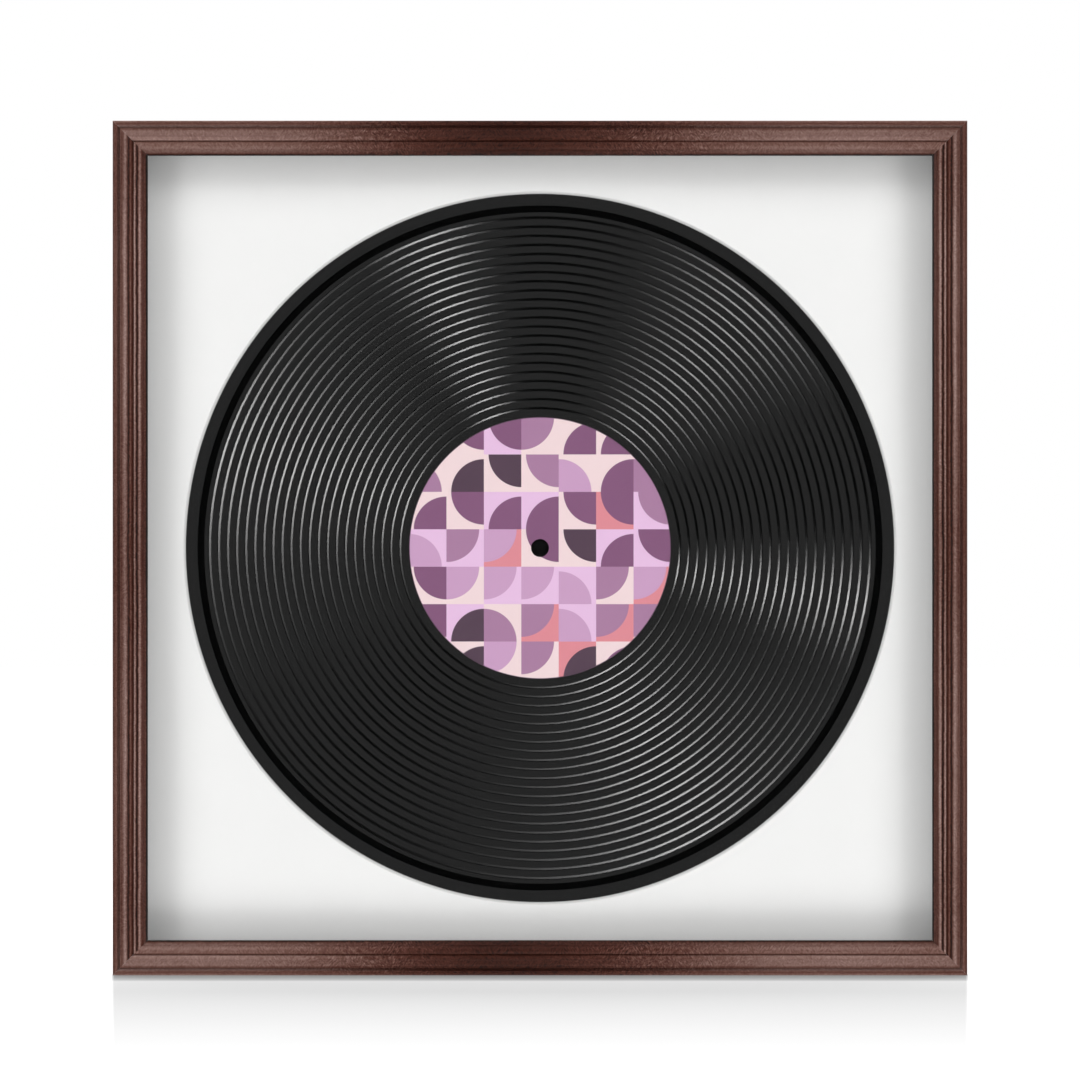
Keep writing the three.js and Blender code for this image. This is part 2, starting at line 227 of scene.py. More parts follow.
def surface(name, points, faces, finishes, smooth=EDGE_ANGLE):
    """A mesh object at the origin, with its place in its points."""
    mesh = bpy.data.meshes.new(name)
    mesh.from_pydata(np.asarray(points).reshape(-1, 3).tolist(), [], [list(map(int, f)) for f in faces])
    finish_mesh(mesh, finishes, smooth)
    made = bpy.data.objects.new(name, mesh)
    scene.collection.objects.link(made)
    return made

# %% [markdown]
# The floor is painted. It glows for the camera and so joins the white behind. In a strip before the frame
# the glow is held back, a painted shadow of the frame. Behind the frame the same painted shadow is shorter,
# and it fades out before it reaches the frame's sides.

# %% Floor
FLOOR_REACH = 12
SHORTER_BEHIND = 5
SHARP_BEFORE, SOFT_BEHIND = MM, 90 * MM
# Metres from the frame to a place on the floor, and the floor's glow there, held back as a painted shadow.
FLOOR_SHADE = [(0, 0.15), (0.02, 0.2), (0.045, 0.34), (0.058, 0.5), (0.066, 0.62), (0.09, 0.6),
               (0.18, 0.575), (0.28, 0.595), (0.38, 0.62), (0.48, 0.65), (0.57, 0.69), (0.66, 0.73),
               (0.83, 0.82), (0.95, 1)]

floor_paint, tree, end = material("pale_painted_floor")
ray = add(tree, "ShaderNodeLightPath")
paint = add(tree, "ShaderNodeBsdfPrincipled", {"Base Color": linear("#7f7f7f"), "Roughness": 0.6,
                                                "Specular IOR Level": 0.0})
place = add(tree, "ShaderNodeTexCoord")
axes = add(tree, "ShaderNodeSeparateXYZ", {0: place.outputs["Object"]})
from_middle = add(tree, "ShaderNodeMath", {0: axes.outputs["Y"], 1: CREST / 2}, operation="SUBTRACT")
from_middle = add(tree, "ShaderNodeMath", {0: from_middle.outputs[0]}, operation="ABSOLUTE")
foot = add(tree, "ShaderNodeMath", {0: from_middle.outputs[0], 1: CREST / 2}, operation="ADD")
behind = add(tree, "ShaderNodeMath", {0: axes.outputs["Y"], 1: CREST / 2}, operation="GREATER_THAN")
shorter = add(tree, "ShaderNodeMapRange", {"Value": behind.outputs[0], "To Min": 1.0,
                                           "To Max": SHORTER_BEHIND})
reach = add(tree, "ShaderNodeMath", {0: foot.outputs[0], 1: shorter.outputs[0]}, operation="MULTIPLY")
# The painted shadow: the floor's glow by its distance from the frame.
shade = add(tree, "ShaderNodeValToRGB", {"Fac": reach.outputs[0]},
            stops=[(far, (level, level, level, 1)) for far, level in FLOOR_SHADE])
sideways = add(tree, "ShaderNodeMath", {0: axes.outputs["X"]}, operation="ABSOLUTE")
limit = add(tree, "ShaderNodeMath", {0: foot.outputs[0], 1: -HALF / CAMERA_DISTANCE, 2: HALF},
            operation="MULTIPLY_ADD")
outside = add(tree, "ShaderNodeMath", {0: sideways.outputs[0], 1: limit.outputs[0]}, operation="SUBTRACT")
inner = add(tree, "ShaderNodeMapRange", {"Value": behind.outputs[0], "To Min": -SHARP_BEFORE,
                                         "To Max": -SOFT_BEHIND})
fade = add(tree, "ShaderNodeMapRange", {"Value": outside.outputs[0], "From Min": inner.outputs[0],
                                        "From Max": SHARP_BEFORE, "To Min": shade.outputs[0],
                                        "To Max": 1.0}, interpolation_type="SMOOTHSTEP")
glow = add(tree, "ShaderNodeMath", {0: ray.outputs["Is Camera Ray"], 1: fade.outputs[0]},
           operation="MULTIPLY")
light = add(tree, "ShaderNodeEmission", {"Strength": glow.outputs[0]})
both = add(tree, "ShaderNodeAddShader", {0: paint.outputs[0], 1: light.outputs[0]})
tree.links.new(both.outputs[0], end)

floor_corners = np.array([[-1, -1, 0], [1, -1, 0], [1, 1, 0], [-1, 1, 0]]) * FLOOR_REACH + [0, 0, FLOOR]
floor = surface("floor", floor_corners, [[0, 1, 2, 3]], [floor_paint])
floor.visible_shadow = floor.visible_diffuse = floor.visible_glossy = False
print("floor at height", FLOOR)

# %% [markdown]
# A ring of soft boxes far out to the sides throws the same soft shade from every lip on to the mat. A faint
# one in front lifts the hollows of the moulding. A wide one behind lights the back and lays the frame's
# shade on the floor in front. No gloss shows them.

# %% Lamps
LAMPS_AWAY = 1.8
RING_COUNT = 8
RING_TILT = math.radians(59)
RING_LENGTH = 1.15
RING_DEPTH = 0.6
RING_POWER = 7.85
FRONT_POWER = 0.8
BACK_TILT = math.radians(128)
BACK_LENGTH, BACK_DEPTH = 1.7, 0.9
BACK_POWER = 40
subject = np.array([0, CREST, MIDDLE])


def soft_box(name, clock, tilt, length, depth, power):
    """A lamp on a cone round the frame's axis, facing the frame, its length along the cone's circle:
    place = subject + away (sin tilt sin clock, -cos tilt, sin tilt cos clock)."""
    around = np.array([math.sin(clock), 0, math.cos(clock)])
    outwards = math.sin(tilt) * around + [0, -math.cos(tilt), 0]
    along = np.array([math.cos(clock), 0, -math.sin(clock)])
    data = bpy.data.lights.new(name, "AREA")
    data.shape = "RECTANGLE"
    data.size = length
    data.size_y = depth
    data.energy = power
    made = bpy.data.objects.new(name, data)
    turn = np.eye(4)
    turn[:3] = np.stack([along, np.cross(outwards, along), outwards, subject + LAMPS_AWAY * outwards], 1)
    made.matrix_world = Matrix(turn.tolist())
    made.visible_glossy = False
    scene.collection.objects.link(made)


for i in range(RING_COUNT):
    clock = 2 * math.pi * i / RING_COUNT
    soft_box(f"ring_{i}", clock, RING_TILT, RING_LENGTH, RING_DEPTH, RING_POWER)
soft_box("front", 0, 0, RING_LENGTH, RING_LENGTH, FRONT_POWER)
soft_box("back", 0, BACK_TILT, BACK_LENGTH, BACK_DEPTH, BACK_POWER)

# %% [markdown]
# A lathe makes a round piece from its profile, and so does the next tool: it carries a profile round an
# axis. A second one adds up soft bumps, which serve for light along a card and for lines across a board.

# %% Turned profiles and soft bumps
def revolve(radius, height, centre, steps, closed=False):
    """A profile turned about the Y axis: x = r sin a, z = r cos a, y = height, moved to centre.
    A closed profile comes back to its start, as a washer's does. An open one starts and ends at r = 0."""
    turn = np.linspace(0, 2 * np.pi, steps, endpoint=False)
    r, a = np.meshgrid(radius, turn, indexing="ij")
    y = np.repeat(np.asarray(height)[:, None], steps, 1)
    points = np.stack([r * np.sin(a), y, r * np.cos(a)], -1) + np.asarray(centre)
    return points, grid_faces(len(radius), steps, round_rows=closed)


def bumps(where, table, period=None):
    """A sum of soft bumps: height exp(-((where - place) / width)^2) for each place, width and height."""
    place, width, height = np.array(table).T[:, :, None]
    off = where - place
    if period:
        off = (off + period / 2) % period - period / 2
    return (height * np.exp(-((off / width) ** 2))).sum(0)

# %% [markdown]
# Gloss is lit apart, as a photographer does for black vinyl. A grey card round the lens makes the flats
# dark grey, a black card round that keeps the rings black, and a bent band of white card, lit more here
# and less there, gives the rings their sheen without touching the mat.

# %% Cards
CARDS_AWAY, CARD_GAP = 2, 0.2
GREY_CARD = np.radians([0, 18])
GREY_CARD_LIGHT = 0.445
SHEEN_BAND = np.radians([47, 65])
BLACK_CARD = np.radians([18, 82])
BLACK_CARD_LIGHT = 0.004
CARD_ROWS, CARD_STEPS = 9, 360


def card(name, band, away, brightness, lobes=((0, 1, 0),)):
    """A band of a sphere round the frame's axis that only mirrors see, between two tilts off the axis.
    Its light is a brightness and soft lobes on the clock: place and width in degrees, and height."""
    tilt = np.linspace(*band, CARD_ROWS)
    points, faces = revolve(away * np.sin(tilt), CREST - away * np.cos(tilt), [0, 0, MIDDLE], CARD_STEPS)
    finish, tree, end = material(name)
    level = add(tree, "ShaderNodeAttribute", attribute_name="light")
    glow = add(tree, "ShaderNodeEmission", {"Color": (1, 1, 1, 1), "Strength": level.outputs["Fac"]})
    tree.links.new(glow.outputs[0], end)
    made = surface(name, points, faces, [finish])
    places = np.empty(len(made.data.vertices) * 3, np.float32)
    made.data.vertices.foreach_get("co", places)
    x, _, z = places.reshape(-1, 3).T
    clock = np.degrees(np.arctan2(x, z - MIDDLE))
    light = made.data.attributes.new("light", "FLOAT", "POINT")
    light.data.foreach_set("value", brightness + bumps(clock, lobes, 360))
    made.visible_camera = made.visible_diffuse = made.visible_shadow = made.visible_transmission = False


# Five bright lobes, two of them with a broad dim skirt. The gaps near 5, 74 and 222 degrees stay black.
SHEEN_LOBES = [(40.3, 12.8, 7.1), (100, 6, 13), (152, 13, 8.2), (152, 29, 4), (288, 13, 8.2),
               (288, 29, 4), (339.7, 6.3, 12.6)]
card("sheen_band", SHEEN_BAND, CARDS_AWAY, 0, SHEEN_LOBES)
card("grey_card", GREY_CARD, CARDS_AWAY + CARD_GAP, GREY_CARD_LIGHT)
card("black_card", BLACK_CARD, CARDS_AWAY + 2 * CARD_GAP, BLACK_CARD_LIGHT)
print("lobes of sheen:", len(SHEEN_LOBES))

# %% [markdown]
# Stained hardwood under satin lacquer. The boards are cut along the grain, sanded, stained red-brown and
# sprayed. The stain sinks into the soft early wood, so growth lines read darker. Painted light and shade
# across and along the boards go into the same tone as the stain. Stain on stain multiplies, so lightness is
# added up in doublings: two for four times as light, minus one for half.

# %% Growth lines and painted shade
STOPS = 32
DARKEST, LIGHTEST = -5, 2
DRIFT_PER_MM, RIPPLE_PER_MM = (0.05, 0.05, 0.03), (0.3, 0.3, 0.45)


def tone_curve(tree, where, low, high, table):
    """Tone at a place along an axis, as doublings of lightness: a sum of bumps, held in a ramp's stops."""
    places = np.linspace(low, high, STOPS)
    level = (np.clip(bumps(places, table), DARKEST, LIGHTEST) - DARKEST) / (LIGHTEST - DARKEST)
    share = add(tree, "ShaderNodeMapRange", {"Value": where, "From Min": low, "From Max": high})
    stops = [(i / (STOPS - 1), (shade, shade, shade, 1)) for i, shade in enumerate(level)]
    ramp = add(tree, "ShaderNodeValToRGB", {"Fac": share.outputs[0]}, stops=stops)
    return add(tree, "ShaderNodeMath", {0: ramp.outputs[0], 1: LIGHTEST - DARKEST, 2: DARKEST},
               operation="MULTIPLY_ADD").outputs[0]


def growth_lines_and_shade(tree, board, across, lines_and_shade, wander_mm):
    """Tone of the lines, growth lines and painted light and shade, by their distance inwards from the outer
    edge, which drifts slowly along the board and ripples every few millimetres: inwards + 2 wander (drift +
    ripple - 1)."""
    across = add(tree, "ShaderNodeMath", {0: across}, operation="ABSOLUTE")
    inwards = add(tree, "ShaderNodeMath", {0: HALF / MM, 1: across.outputs[0]}, operation="SUBTRACT")
    drift = add(tree, "ShaderNodeMapping", {"Vector": board, "Scale": DRIFT_PER_MM})
    drift = add(tree, "ShaderNodeTexNoise", {"Vector": drift.outputs[0], "Scale": 1, "Detail": 1})
    ripple = add(tree, "ShaderNodeMapping", {"Vector": board, "Scale": RIPPLE_PER_MM})
    ripple = add(tree, "ShaderNodeTexNoise", {"Vector": ripple.outputs[0], "Scale": 1, "Detail": 2})
    wander = add(tree, "ShaderNodeMath", {0: drift.outputs["Fac"], 1: ripple.outputs["Fac"]},
                 operation="ADD")
    wander = add(tree, "ShaderNodeMath", {0: wander.outputs[0], 1: 1.0}, operation="SUBTRACT")
    wandered = add(tree, "ShaderNodeMath", {0: wander.outputs[0], 1: 2 * wander_mm, 2: inwards.outputs[0]},
                   operation="MULTIPLY_ADD")
    return tone_curve(tree, wandered.outputs[0], 0, RAIL_FACE / MM, lines_and_shade)

# %% [markdown]
# On the level rails the figure of the wood runs across the moulding and shows as short flecks. They slant
# one way in one patch and the other way in the next, so two slanting noises are made and a broad one
# chooses.

# %% Flecks
FLECK_SLANT = math.radians(34)
FLECK_STRETCH = 2.8
FLECKS_PER_MM, PATCHES_PER_MM = 1.8, 0.13
PATCH_EDGE = (0.44, 0.56)


def slanting_flecks(tree, board):
    """Noise, drawn out along either slant, that changes every millimetre or two across the flecks."""
    slants = []
    for slant in (-FLECK_SLANT, FLECK_SLANT):
        drawn_out = add(tree, "ShaderNodeMapping", {"Vector": board, "Rotation": (0, slant, 0),
                                                    "Scale": (FLECK_STRETCH, FLECK_STRETCH, 1)},
                        vector_type="TEXTURE")
        slants.append(add(tree, "ShaderNodeTexNoise", {"Vector": drawn_out.outputs[0], "Detail": 2,
                                                       "Scale": FLECKS_PER_MM, "Roughness": 0.6}))
    patch = add(tree, "ShaderNodeTexNoise", {"Vector": board, "Scale": PATCHES_PER_MM, "Detail": 1})
    patch = add(tree, "ShaderNodeMapRange", {"Value": patch.outputs["Fac"], "From Min": PATCH_EDGE[0],
                                             "From Max": PATCH_EDGE[1]})
    return add(tree, "ShaderNodeMix", {"Factor": patch.outputs[0], "A": slants[0].outputs["Fac"],
                                       "B": slants[1].outputs["Fac"]}, data_type="FLOAT").outputs[0]

# %% [markdown]
# Along each rail a painted reflection makes it lighter part of the way out to either end and leaves painted
# shade in its middle, so a level rail is darkest left of its middle. Lines are calm there and flecks stand
# beside it. Both belong to the moulded front and fade on the rail's plain side and back. Last, the summed
# tone picks a colour of the stain, and the fibres make the lacquer a little uneven.

# %% Stained wood
# Fibres are about a millimetre thick and four centimetres long, pores a third of that.
FIBRES_PER_MM, PORES_PER_MM, GRAIN_STRETCH = 0.9, 3.2, 0.03
STAIN_REACH = 5
# Depths below the crest between which the front's pattern fades, and the share of it that is left.
FRONT_DEPTH, SIDE_DEPTH, SIDE_SHARE = 8 * MM, 14 * MM, 0.1
# Tones of the painted sheen where lines are calmest and flecks strongest, and how much of either is left.
CALM_SHEEN, CALM_SHARE = -2.4, 0.1
FLECK_SHEEN, FLECK_SHARE = -1.5, 0.3
# The darkest stops are reached by the painted shade along the sight edge.
STAIN = [(0.0, linear("#0d0403")), (0.1, linear("#30160f")), (0.3, linear("#4a2921")),
         (0.5, linear("#65473f")), (0.7, linear("#8b6f68")), (0.9, linear("#bba099")),
         (1.0, linear("#d2bab2"))]


def stained_wood(name, turn, base, lines_and_shade, sheen_along, wander_mm, fibre, fleck):
    """Wood whose grain runs along Z after the turn about Y, in millimetres from the frame's middle.
    Lightness in doublings = lines with painted light and shade across the moulding, calmer where the painted
    sheen along the board is dark, + that painted sheen + fibre and pore noise + flecks, strongest beside the
    darkest painted sheen, each noise less its mean. The stain's colour stands at base + lightness / reach."""
    made, tree, end = material(name)
    place = add(tree, "ShaderNodeTexCoord")
    middle = add(tree, "ShaderNodeVectorMath", {0: place.outputs["Object"], 1: (0, 0, -MIDDLE)},
                 operation="ADD")
    board = add(tree, "ShaderNodeMapping", {"Vector": middle.outputs[0], "Rotation": (0, turn, 0),
                                            "Scale": (1 / MM, 1 / MM, 1 / MM)}).outputs[0]
    axes = add(tree, "ShaderNodeSeparateXYZ", {0: board})

    grain = add(tree, "ShaderNodeMapping", {"Vector": board, "Scale": (1, 1, GRAIN_STRETCH)})
    fibres = add(tree, "ShaderNodeTexNoise", {"Vector": grain.outputs[0], "Scale": FIBRES_PER_MM,
                                              "Detail": 5, "Roughness": 0.62})
    pores = add(tree, "ShaderNodeTexNoise", {"Vector": grain.outputs[0], "Scale": PORES_PER_MM,
                                             "Detail": 3, "Roughness": 0.7})

    # Lines and painted shade across, and the painted sheen along, with the lines calmed where it is darkest
    # and on the side.
    tone = growth_lines_and_shade(tree, board, axes.outputs["X"], lines_and_shade, wander_mm)
    # Painted reflection and shade along the board: tone by the place from the rail's middle.
    along = tone_curve(tree, axes.outputs["Z"], -HALF / MM, HALF / MM, sheen_along)
    faced = add(tree, "ShaderNodeMapRange", {"Value": axes.outputs["Y"], "To Min": 1.0, "To Max": SIDE_SHARE,
                                             "From Min": (CREST + FRONT_DEPTH) / MM,
                                             "From Max": (CREST + SIDE_DEPTH) / MM})
    calm = add(tree, "ShaderNodeMapRange", {"Value": along, "From Min": CALM_SHEEN, "From Max": 0,
                                            "To Min": CALM_SHARE})
    calm = add(tree, "ShaderNodeMath", {0: calm.outputs[0], 1: faced.outputs[0]}, operation="MULTIPLY")
    tone = add(tree, "ShaderNodeMath", {0: tone, 1: calm.outputs[0], 2: along}, operation="MULTIPLY_ADD")

    # How strong the flecks are, by how far the painted sheen's tone is from the one they like best.
    beside = add(tree, "ShaderNodeMath", {0: along, 1: -FLECK_SHEEN}, operation="ADD")
    beside = add(tree, "ShaderNodeMath", {0: beside.outputs[0]}, operation="ABSOLUTE")
    beside = add(tree, "ShaderNodeMapRange", {"Value": beside.outputs[0], "From Max": -FLECK_SHEEN,
                                              "To Min": fleck, "To Max": FLECK_SHARE * fleck})
    beside = add(tree, "ShaderNodeMath", {0: beside.outputs[0], 1: faced.outputs[0]}, operation="MULTIPLY")

    for noise, amount in ((fibres.outputs["Fac"], fibre), (pores.outputs["Fac"], fibre),
                          (slanting_flecks(tree, board), beside.outputs[0])):
        level = add(tree, "ShaderNodeMath", {0: noise, 1: 0.5}, operation="SUBTRACT")
        tone = add(tree, "ShaderNodeMath", {0: level.outputs[0], 1: amount, 2: tone.outputs[0]},
                   operation="MULTIPLY_ADD")
    stain = add(tree, "ShaderNodeMath", {0: tone.outputs[0], 1: 1 / STAIN_REACH, 2: base},
                operation="MULTIPLY_ADD")
    colour = add(tree, "ShaderNodeValToRGB", {"Fac": stain.outputs[0]}, stops=STAIN)
    rough = add(tree, "ShaderNodeMapRange", {"Value": fibres.outputs["Fac"], "To Min": 0.56, "To Max": 0.42})
    relief = add(tree, "ShaderNodeBump", {"Height": pores.outputs["Fac"], "Strength": 0.3,
                                          "Distance": 0.05 * MM})
    lacquer = add(tree, "ShaderNodeBsdfPrincipled", {"Base Color": colour.outputs[0],
                                                      "Roughness": rough.outputs[0],
                                                      "Normal": relief.outputs[0],
                                                      "Specular IOR Level": 0.15})
    tree.links.new(lacquer.outputs[0], end)
    return made

# %% [markdown]
# Across the moulding the front is lightened and darkened place by place with painted light and shade, on the
# bead, quirk, cove, groove and round, and it is darkest with painted shade along the sight edge. On the
# uprights growth lines cross all of that. Their places follow the photograph.

# %% Wood for uprights and level rails
# Lines of painted light and shade, with growth lines among them on the uprights: millimetres inwards from
# the outer edge, half width, doublings of lightness.
UPRIGHT_LINES_AND_SHADE = [(0.5, 0.4, -1.1), (2.5, 0.7, 0.3), (3.9, 0.5, -0.3), (5.25, 0.8, 1.45), (6.8, 0.4, -3.1),
                 (7.5, 0.35, 0.3), (8.3, 0.4, -1.6), (9.4, 0.45, 1.6), (10.35, 0.4, -3.7), (11.45, 0.6, 1.5),
                 (12.5, 0.4, -0.9), (13.2, 0.4, -1.1), (14.7, 0.5, -6.5)]
LEVEL_PAINTED_SHADE = [(0.5, 0.4, -0.4), (1.3, 0.5, -1.5), (2.35, 0.5, 0.7), (3.25, 0.6, -1.2), (8.3, 0.4, 0.4),
               (9.0, 0.4, -1.2), (10.2, 0.8, -0.5), (12.8, 0.8, -0.5), (14.5, 0.6, -3.6)]
# Painted reflection and shade along the boards, from the middle: the level rails are darkest left of it.
UPRIGHT_SHEEN_ALONG = [(0, 50, -0.5), (163, 22, -0.35), (-144, 25, -0.3)]
LEVEL_SHEEN_ALONG = [(-30, 52, -2.15), (30, 50, -1.3), (175, 25, -0.25)]
upright_wood = stained_wood("stained_wood_upright", turn=0, base=0.47, lines_and_shade=UPRIGHT_LINES_AND_SHADE,
                            sheen_along=UPRIGHT_SHEEN_ALONG, wander_mm=0.25, fibre=1.3, fleck=6.5)
level_wood = stained_wood("stained_wood_level", turn=-math.pi / 2, base=0.64, lines_and_shade=LEVEL_PAINTED_SHADE,
                          sheen_along=LEVEL_SHEEN_ALONG, wander_mm=0.1, fibre=0.6, fleck=7.4)
print("wood:", upright_wood.name, level_wood.name)

# %% [markdown]
# A moulding's section is drawn with two tools. One is a cubic curve between two places with a handle at
# either end. The other breaks every sharp corner a little, as sandpaper does, because a dead sharp edge
# catches no light.

# %% Curves and eased corners
def bend(start, leave, arrive, end, steps):
    """A cubic curve that leaves towards one handle and arrives from the other: (1-t)^3 start
    + 3t (1-t)^2 leave + 3t^2 (1-t) arrive + t^3 end."""
    t = np.linspace(0, 1, steps)[:, None]
    parts = [(1 - t) ** 3 * np.array(start), 3 * t * (1 - t) ** 2 * np.array(leave)]
    parts += [3 * t**2 * (1 - t) * np.array(arrive), t**3 * np.array(end)]
    return sum(parts)


def ease(outline, radius, steps=4, sharp=math.radians(24), most=0.45):
    """Rounds the sharp corners of a closed outline. Each corner C becomes a short parabola
    (1-t)^2 A + 2t(1-t) C + t^2 B, where A and B lie on its two edges, radius away or, on a short edge, at
    the share most of its length."""
    reach = np.empty((2, len(outline), 2))
    for side, shift in enumerate((1, -1)):
        edge = np.roll(outline, shift, 0) - outline
        length = np.linalg.norm(edge, axis=1, keepdims=True)
        reach[side] = edge / length * np.minimum(radius, most * length)
    heading = reach / np.linalg.norm(reach, axis=2, keepdims=True)
    turning = np.arccos(np.clip(-(heading[0] * heading[1]).sum(1), -1, 1))
    t = np.linspace(0, 1, steps)[None, :, None]
    curve = outline[:, None] + (1 - t) ** 2 * reach[0][:, None] + t**2 * reach[1][:, None]
    curve = np.where((turning > sharp)[:, None, None], curve, outline[:, None])
    keep = (turning > sharp)[:, None] | (np.arange(steps) == 0)
    return curve[keep]

# %% [markdown]
# The moulding is one section, planed on long boards and mitred. Seen from the outer edge inwards it has a
# small half-round bead, a quirk, a cove that climbs to a rounded crest, a groove, and a broad round that
# falls to the sight edge. A bevelled box can't hold that, so the section is drawn once and carried round.

# %% Moulding section
LEDGE = 8.5 * MM
LIP_DEPTH = 7 * MM
BEAD_WIDTH, BEAD_DROP = 2.1 * MM, 2.3 * MM
QUIRK_WIDTH, QUIRK_DROP = 1 * MM, 3.8 * MM
COVE_FOOT_DROP, COVE_REACH = 3 * MM, 1.4 * MM
CREST_FROM, CREST_TO, CREST_SHOULDER = 6.4 * MM, 8.2 * MM, 0.8 * MM
GROOVE_WIDTH, GROOVE_DROP = 0.9 * MM, 1.2 * MM
ROUND_PLACE, ROUND_DROP, ROUND_EDGE = 10.2 * MM, 0.2 * MM, 0.35 * MM
ROUND_FOOT, ROUND_FOOT_DROP = 12.9 * MM, 2.3 * MM
FILLET_WIDTH, FILLET_DROP, SIGHT_DROP = 0.7 * MM, 2.85 * MM, 3.2 * MM
EASED_EDGE = 0.22 * MM


def moulding_section(top, steps=14):
    """The closed outline in (inwards from the outer edge, up from the rail's back), from cubic curves and
    one half circle: bead = middle + radius (cos a, sin a)."""
    bead = BEAD_WIDTH / 2
    cove_foot = BEAD_WIDTH + QUIRK_WIDTH
    crest_middle = (CREST_FROM + CREST_TO) / 2
    shoulder = (CREST_FROM + crest_middle) / 2
    round_side = (ROUND_PLACE + ROUND_FOOT) / 2
    lip = [[0, 0], [LEDGE, 0], [LEDGE, top - LIP_DEPTH], [RAIL_FACE, top - LIP_DEPTH],
           [RAIL_FACE, top - SIGHT_DROP], [RAIL_FACE - FILLET_WIDTH, top - FILLET_DROP]]
    inner_round = bend([ROUND_FOOT, top - ROUND_FOOT_DROP], [ROUND_FOOT, top - ROUND_FOOT_DROP / 2],
                       [round_side, top - ROUND_DROP], [ROUND_PLACE, top - ROUND_DROP], steps)
    groove = [[CREST_TO + GROOVE_WIDTH, top - ROUND_DROP - ROUND_EDGE],
              [CREST_TO + GROOVE_WIDTH / 2, top - GROOVE_DROP]]
    inner_crest = bend([CREST_TO, top - CREST_SHOULDER / 2], [CREST_TO, top], [CREST_TO, top],
                       [crest_middle, top], steps)
    cove_top = top - CREST_SHOULDER
    outer_crest = bend([crest_middle, top], [shoulder, top], [shoulder, top], [CREST_FROM, cove_top], steps)
    cove = bend([CREST_FROM, cove_top], [CREST_FROM - COVE_REACH, cove_top - COVE_REACH],
                [cove_foot + COVE_REACH, top - COVE_FOOT_DROP], [cove_foot, top - COVE_FOOT_DROP], steps)
    quirk = [[cove_foot, top - QUIRK_DROP], [BEAD_WIDTH, top - QUIRK_DROP]]
    angle = np.linspace(0, np.pi, steps)[:, None]
    half_round = [bead, top - BEAD_DROP - bead] + bead * np.hstack([np.cos(angle), np.sin(angle)])
    parts = [lip, inner_round, groove, inner_crest, outer_crest[1:], cove[1:], quirk, half_round]
    return ease(np.vstack(parts), EASED_EDGE)


section = moulding_section(RAIL_DEPTH)
print("section points:", len(section), "from", section.min(0), "to", section.max(0))

# %% [markdown]
# A new piece stands in for one piece of the construction: it rides on the same body, so that it moves with
# it, and takes its place.

# %% Standing in for a piece
def stand_in(piece, node, body="frame"):
    """The piece rides on a body and is shown in place of one node of the construction."""
    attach(piece, body)
    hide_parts(node)
    print(piece.name, "for", node, "faces:", len(piece.data.polygons))

# %% [markdown]
# Each rail is that section between two mitre planes at 45 degrees, with a hairline of glue left open. The
# V-shaped nails that pull the corners together are driven into the back, so each rail end has the two
# slots that they cut.

# %% Rails
GLUE_LINE = 0.02 * MM
NAIL_SHEET = 0.6 * MM
NAIL_CLEARANCE = 0.12 * MM
NAIL_RIM = 2 * MM
TURNS = {"bottom": 0, "left": math.pi / 2, "top": math.pi, "right": -math.pi / 2}


def turned_about_y(points, angle):
    """Points turned about the frame's axis: x' = x cos + z sin, z' = z cos - x sin, from the middle."""
    x, y, z = np.moveaxis(points, -1, 0)
    turned_x = x * math.cos(angle) + z * math.sin(angle)
    turned_z = z * math.cos(angle) - x * math.sin(angle)
    return np.stack([turned_x, y, turned_z], -1) + [0, 0, MIDDLE]


def slot_cutter():
    """The L that a corner nail cuts at the lower left, a prism that runs out of the back of the rails."""
    low, high = span("corner_nail_bottom_left")
    near = low[0] - NAIL_CLEARANCE
    inner = low[0] + NAIL_SHEET + NAIL_CLEARANCE
    far = high[0] + NAIL_CLEARANCE
    shape = np.array([[near, near], [far, near], [far, inner], [inner, inner], [inner, far], [near, far]])
    levels = np.array([low[1] - NAIL_CLEARANCE, RAIL_BACK + NAIL_RIM])
    points = np.stack(np.broadcast_arrays(shape[:, 0], levels[:, None], shape[:, 1]), -1)
    return points, [*grid_faces(2, 6), range(6), range(6, 12)]


def rail(side):
    """x = s (half - inwards - glue / 2) for s = -1 and 1, y = back - up, z = inwards - half, then turned.
    The slots are cut with a boolean, which keeps the section's edges as they are."""
    inwards, up = section.T
    ends = np.array([-1, 1])[:, None]
    x = ends * (HALF - inwards - GLUE_LINE / 2)
    points = np.stack(np.broadcast_arrays(x, RAIL_BACK - up, inwards - HALF), -1)
    faces = [*grid_faces(2, len(section)), range(len(section)), range(len(section), 2 * len(section))]
    finish = upright_wood if side in ("left", "right") else level_wood
    made = surface(f"moulding_{side}", turned_about_y(points, TURNS[side]), faces, [finish])
    cutters = []
    slot_points, slot_faces = slot_cutter()
    for turn in (TURNS[side], TURNS[side] - math.pi / 2):
        cutter = surface("slot", turned_about_y(slot_points, turn), slot_faces, [finish])
        cut = made.modifiers.new("slot", "BOOLEAN")
        cut.operation = "DIFFERENCE"
        cut.solver = "EXACT"
        cut.object = cutter
        cutters.append(cutter)
    view = bpy.context.evaluated_depsgraph_get()
    carved = bpy.data.meshes.new_from_object(made.evaluated_get(view))
    made.modifiers.clear()
    made.data = carved
    finish_mesh(carved, [finish])
    for cutter in cutters:
        bpy.data.objects.remove(cutter)
    stand_in(made, f"rail_{side}")


for side in TURNS:
    rail(side)

# %% [markdown]
# The glazing is a sheet of clear cast acrylic. It is so clear that only its faint gloss would show, and a
# real refracting slab would hide the lamps from the mat, so it is a thin veil: almost all of it is
# transparent and the rest is a dark gloss.

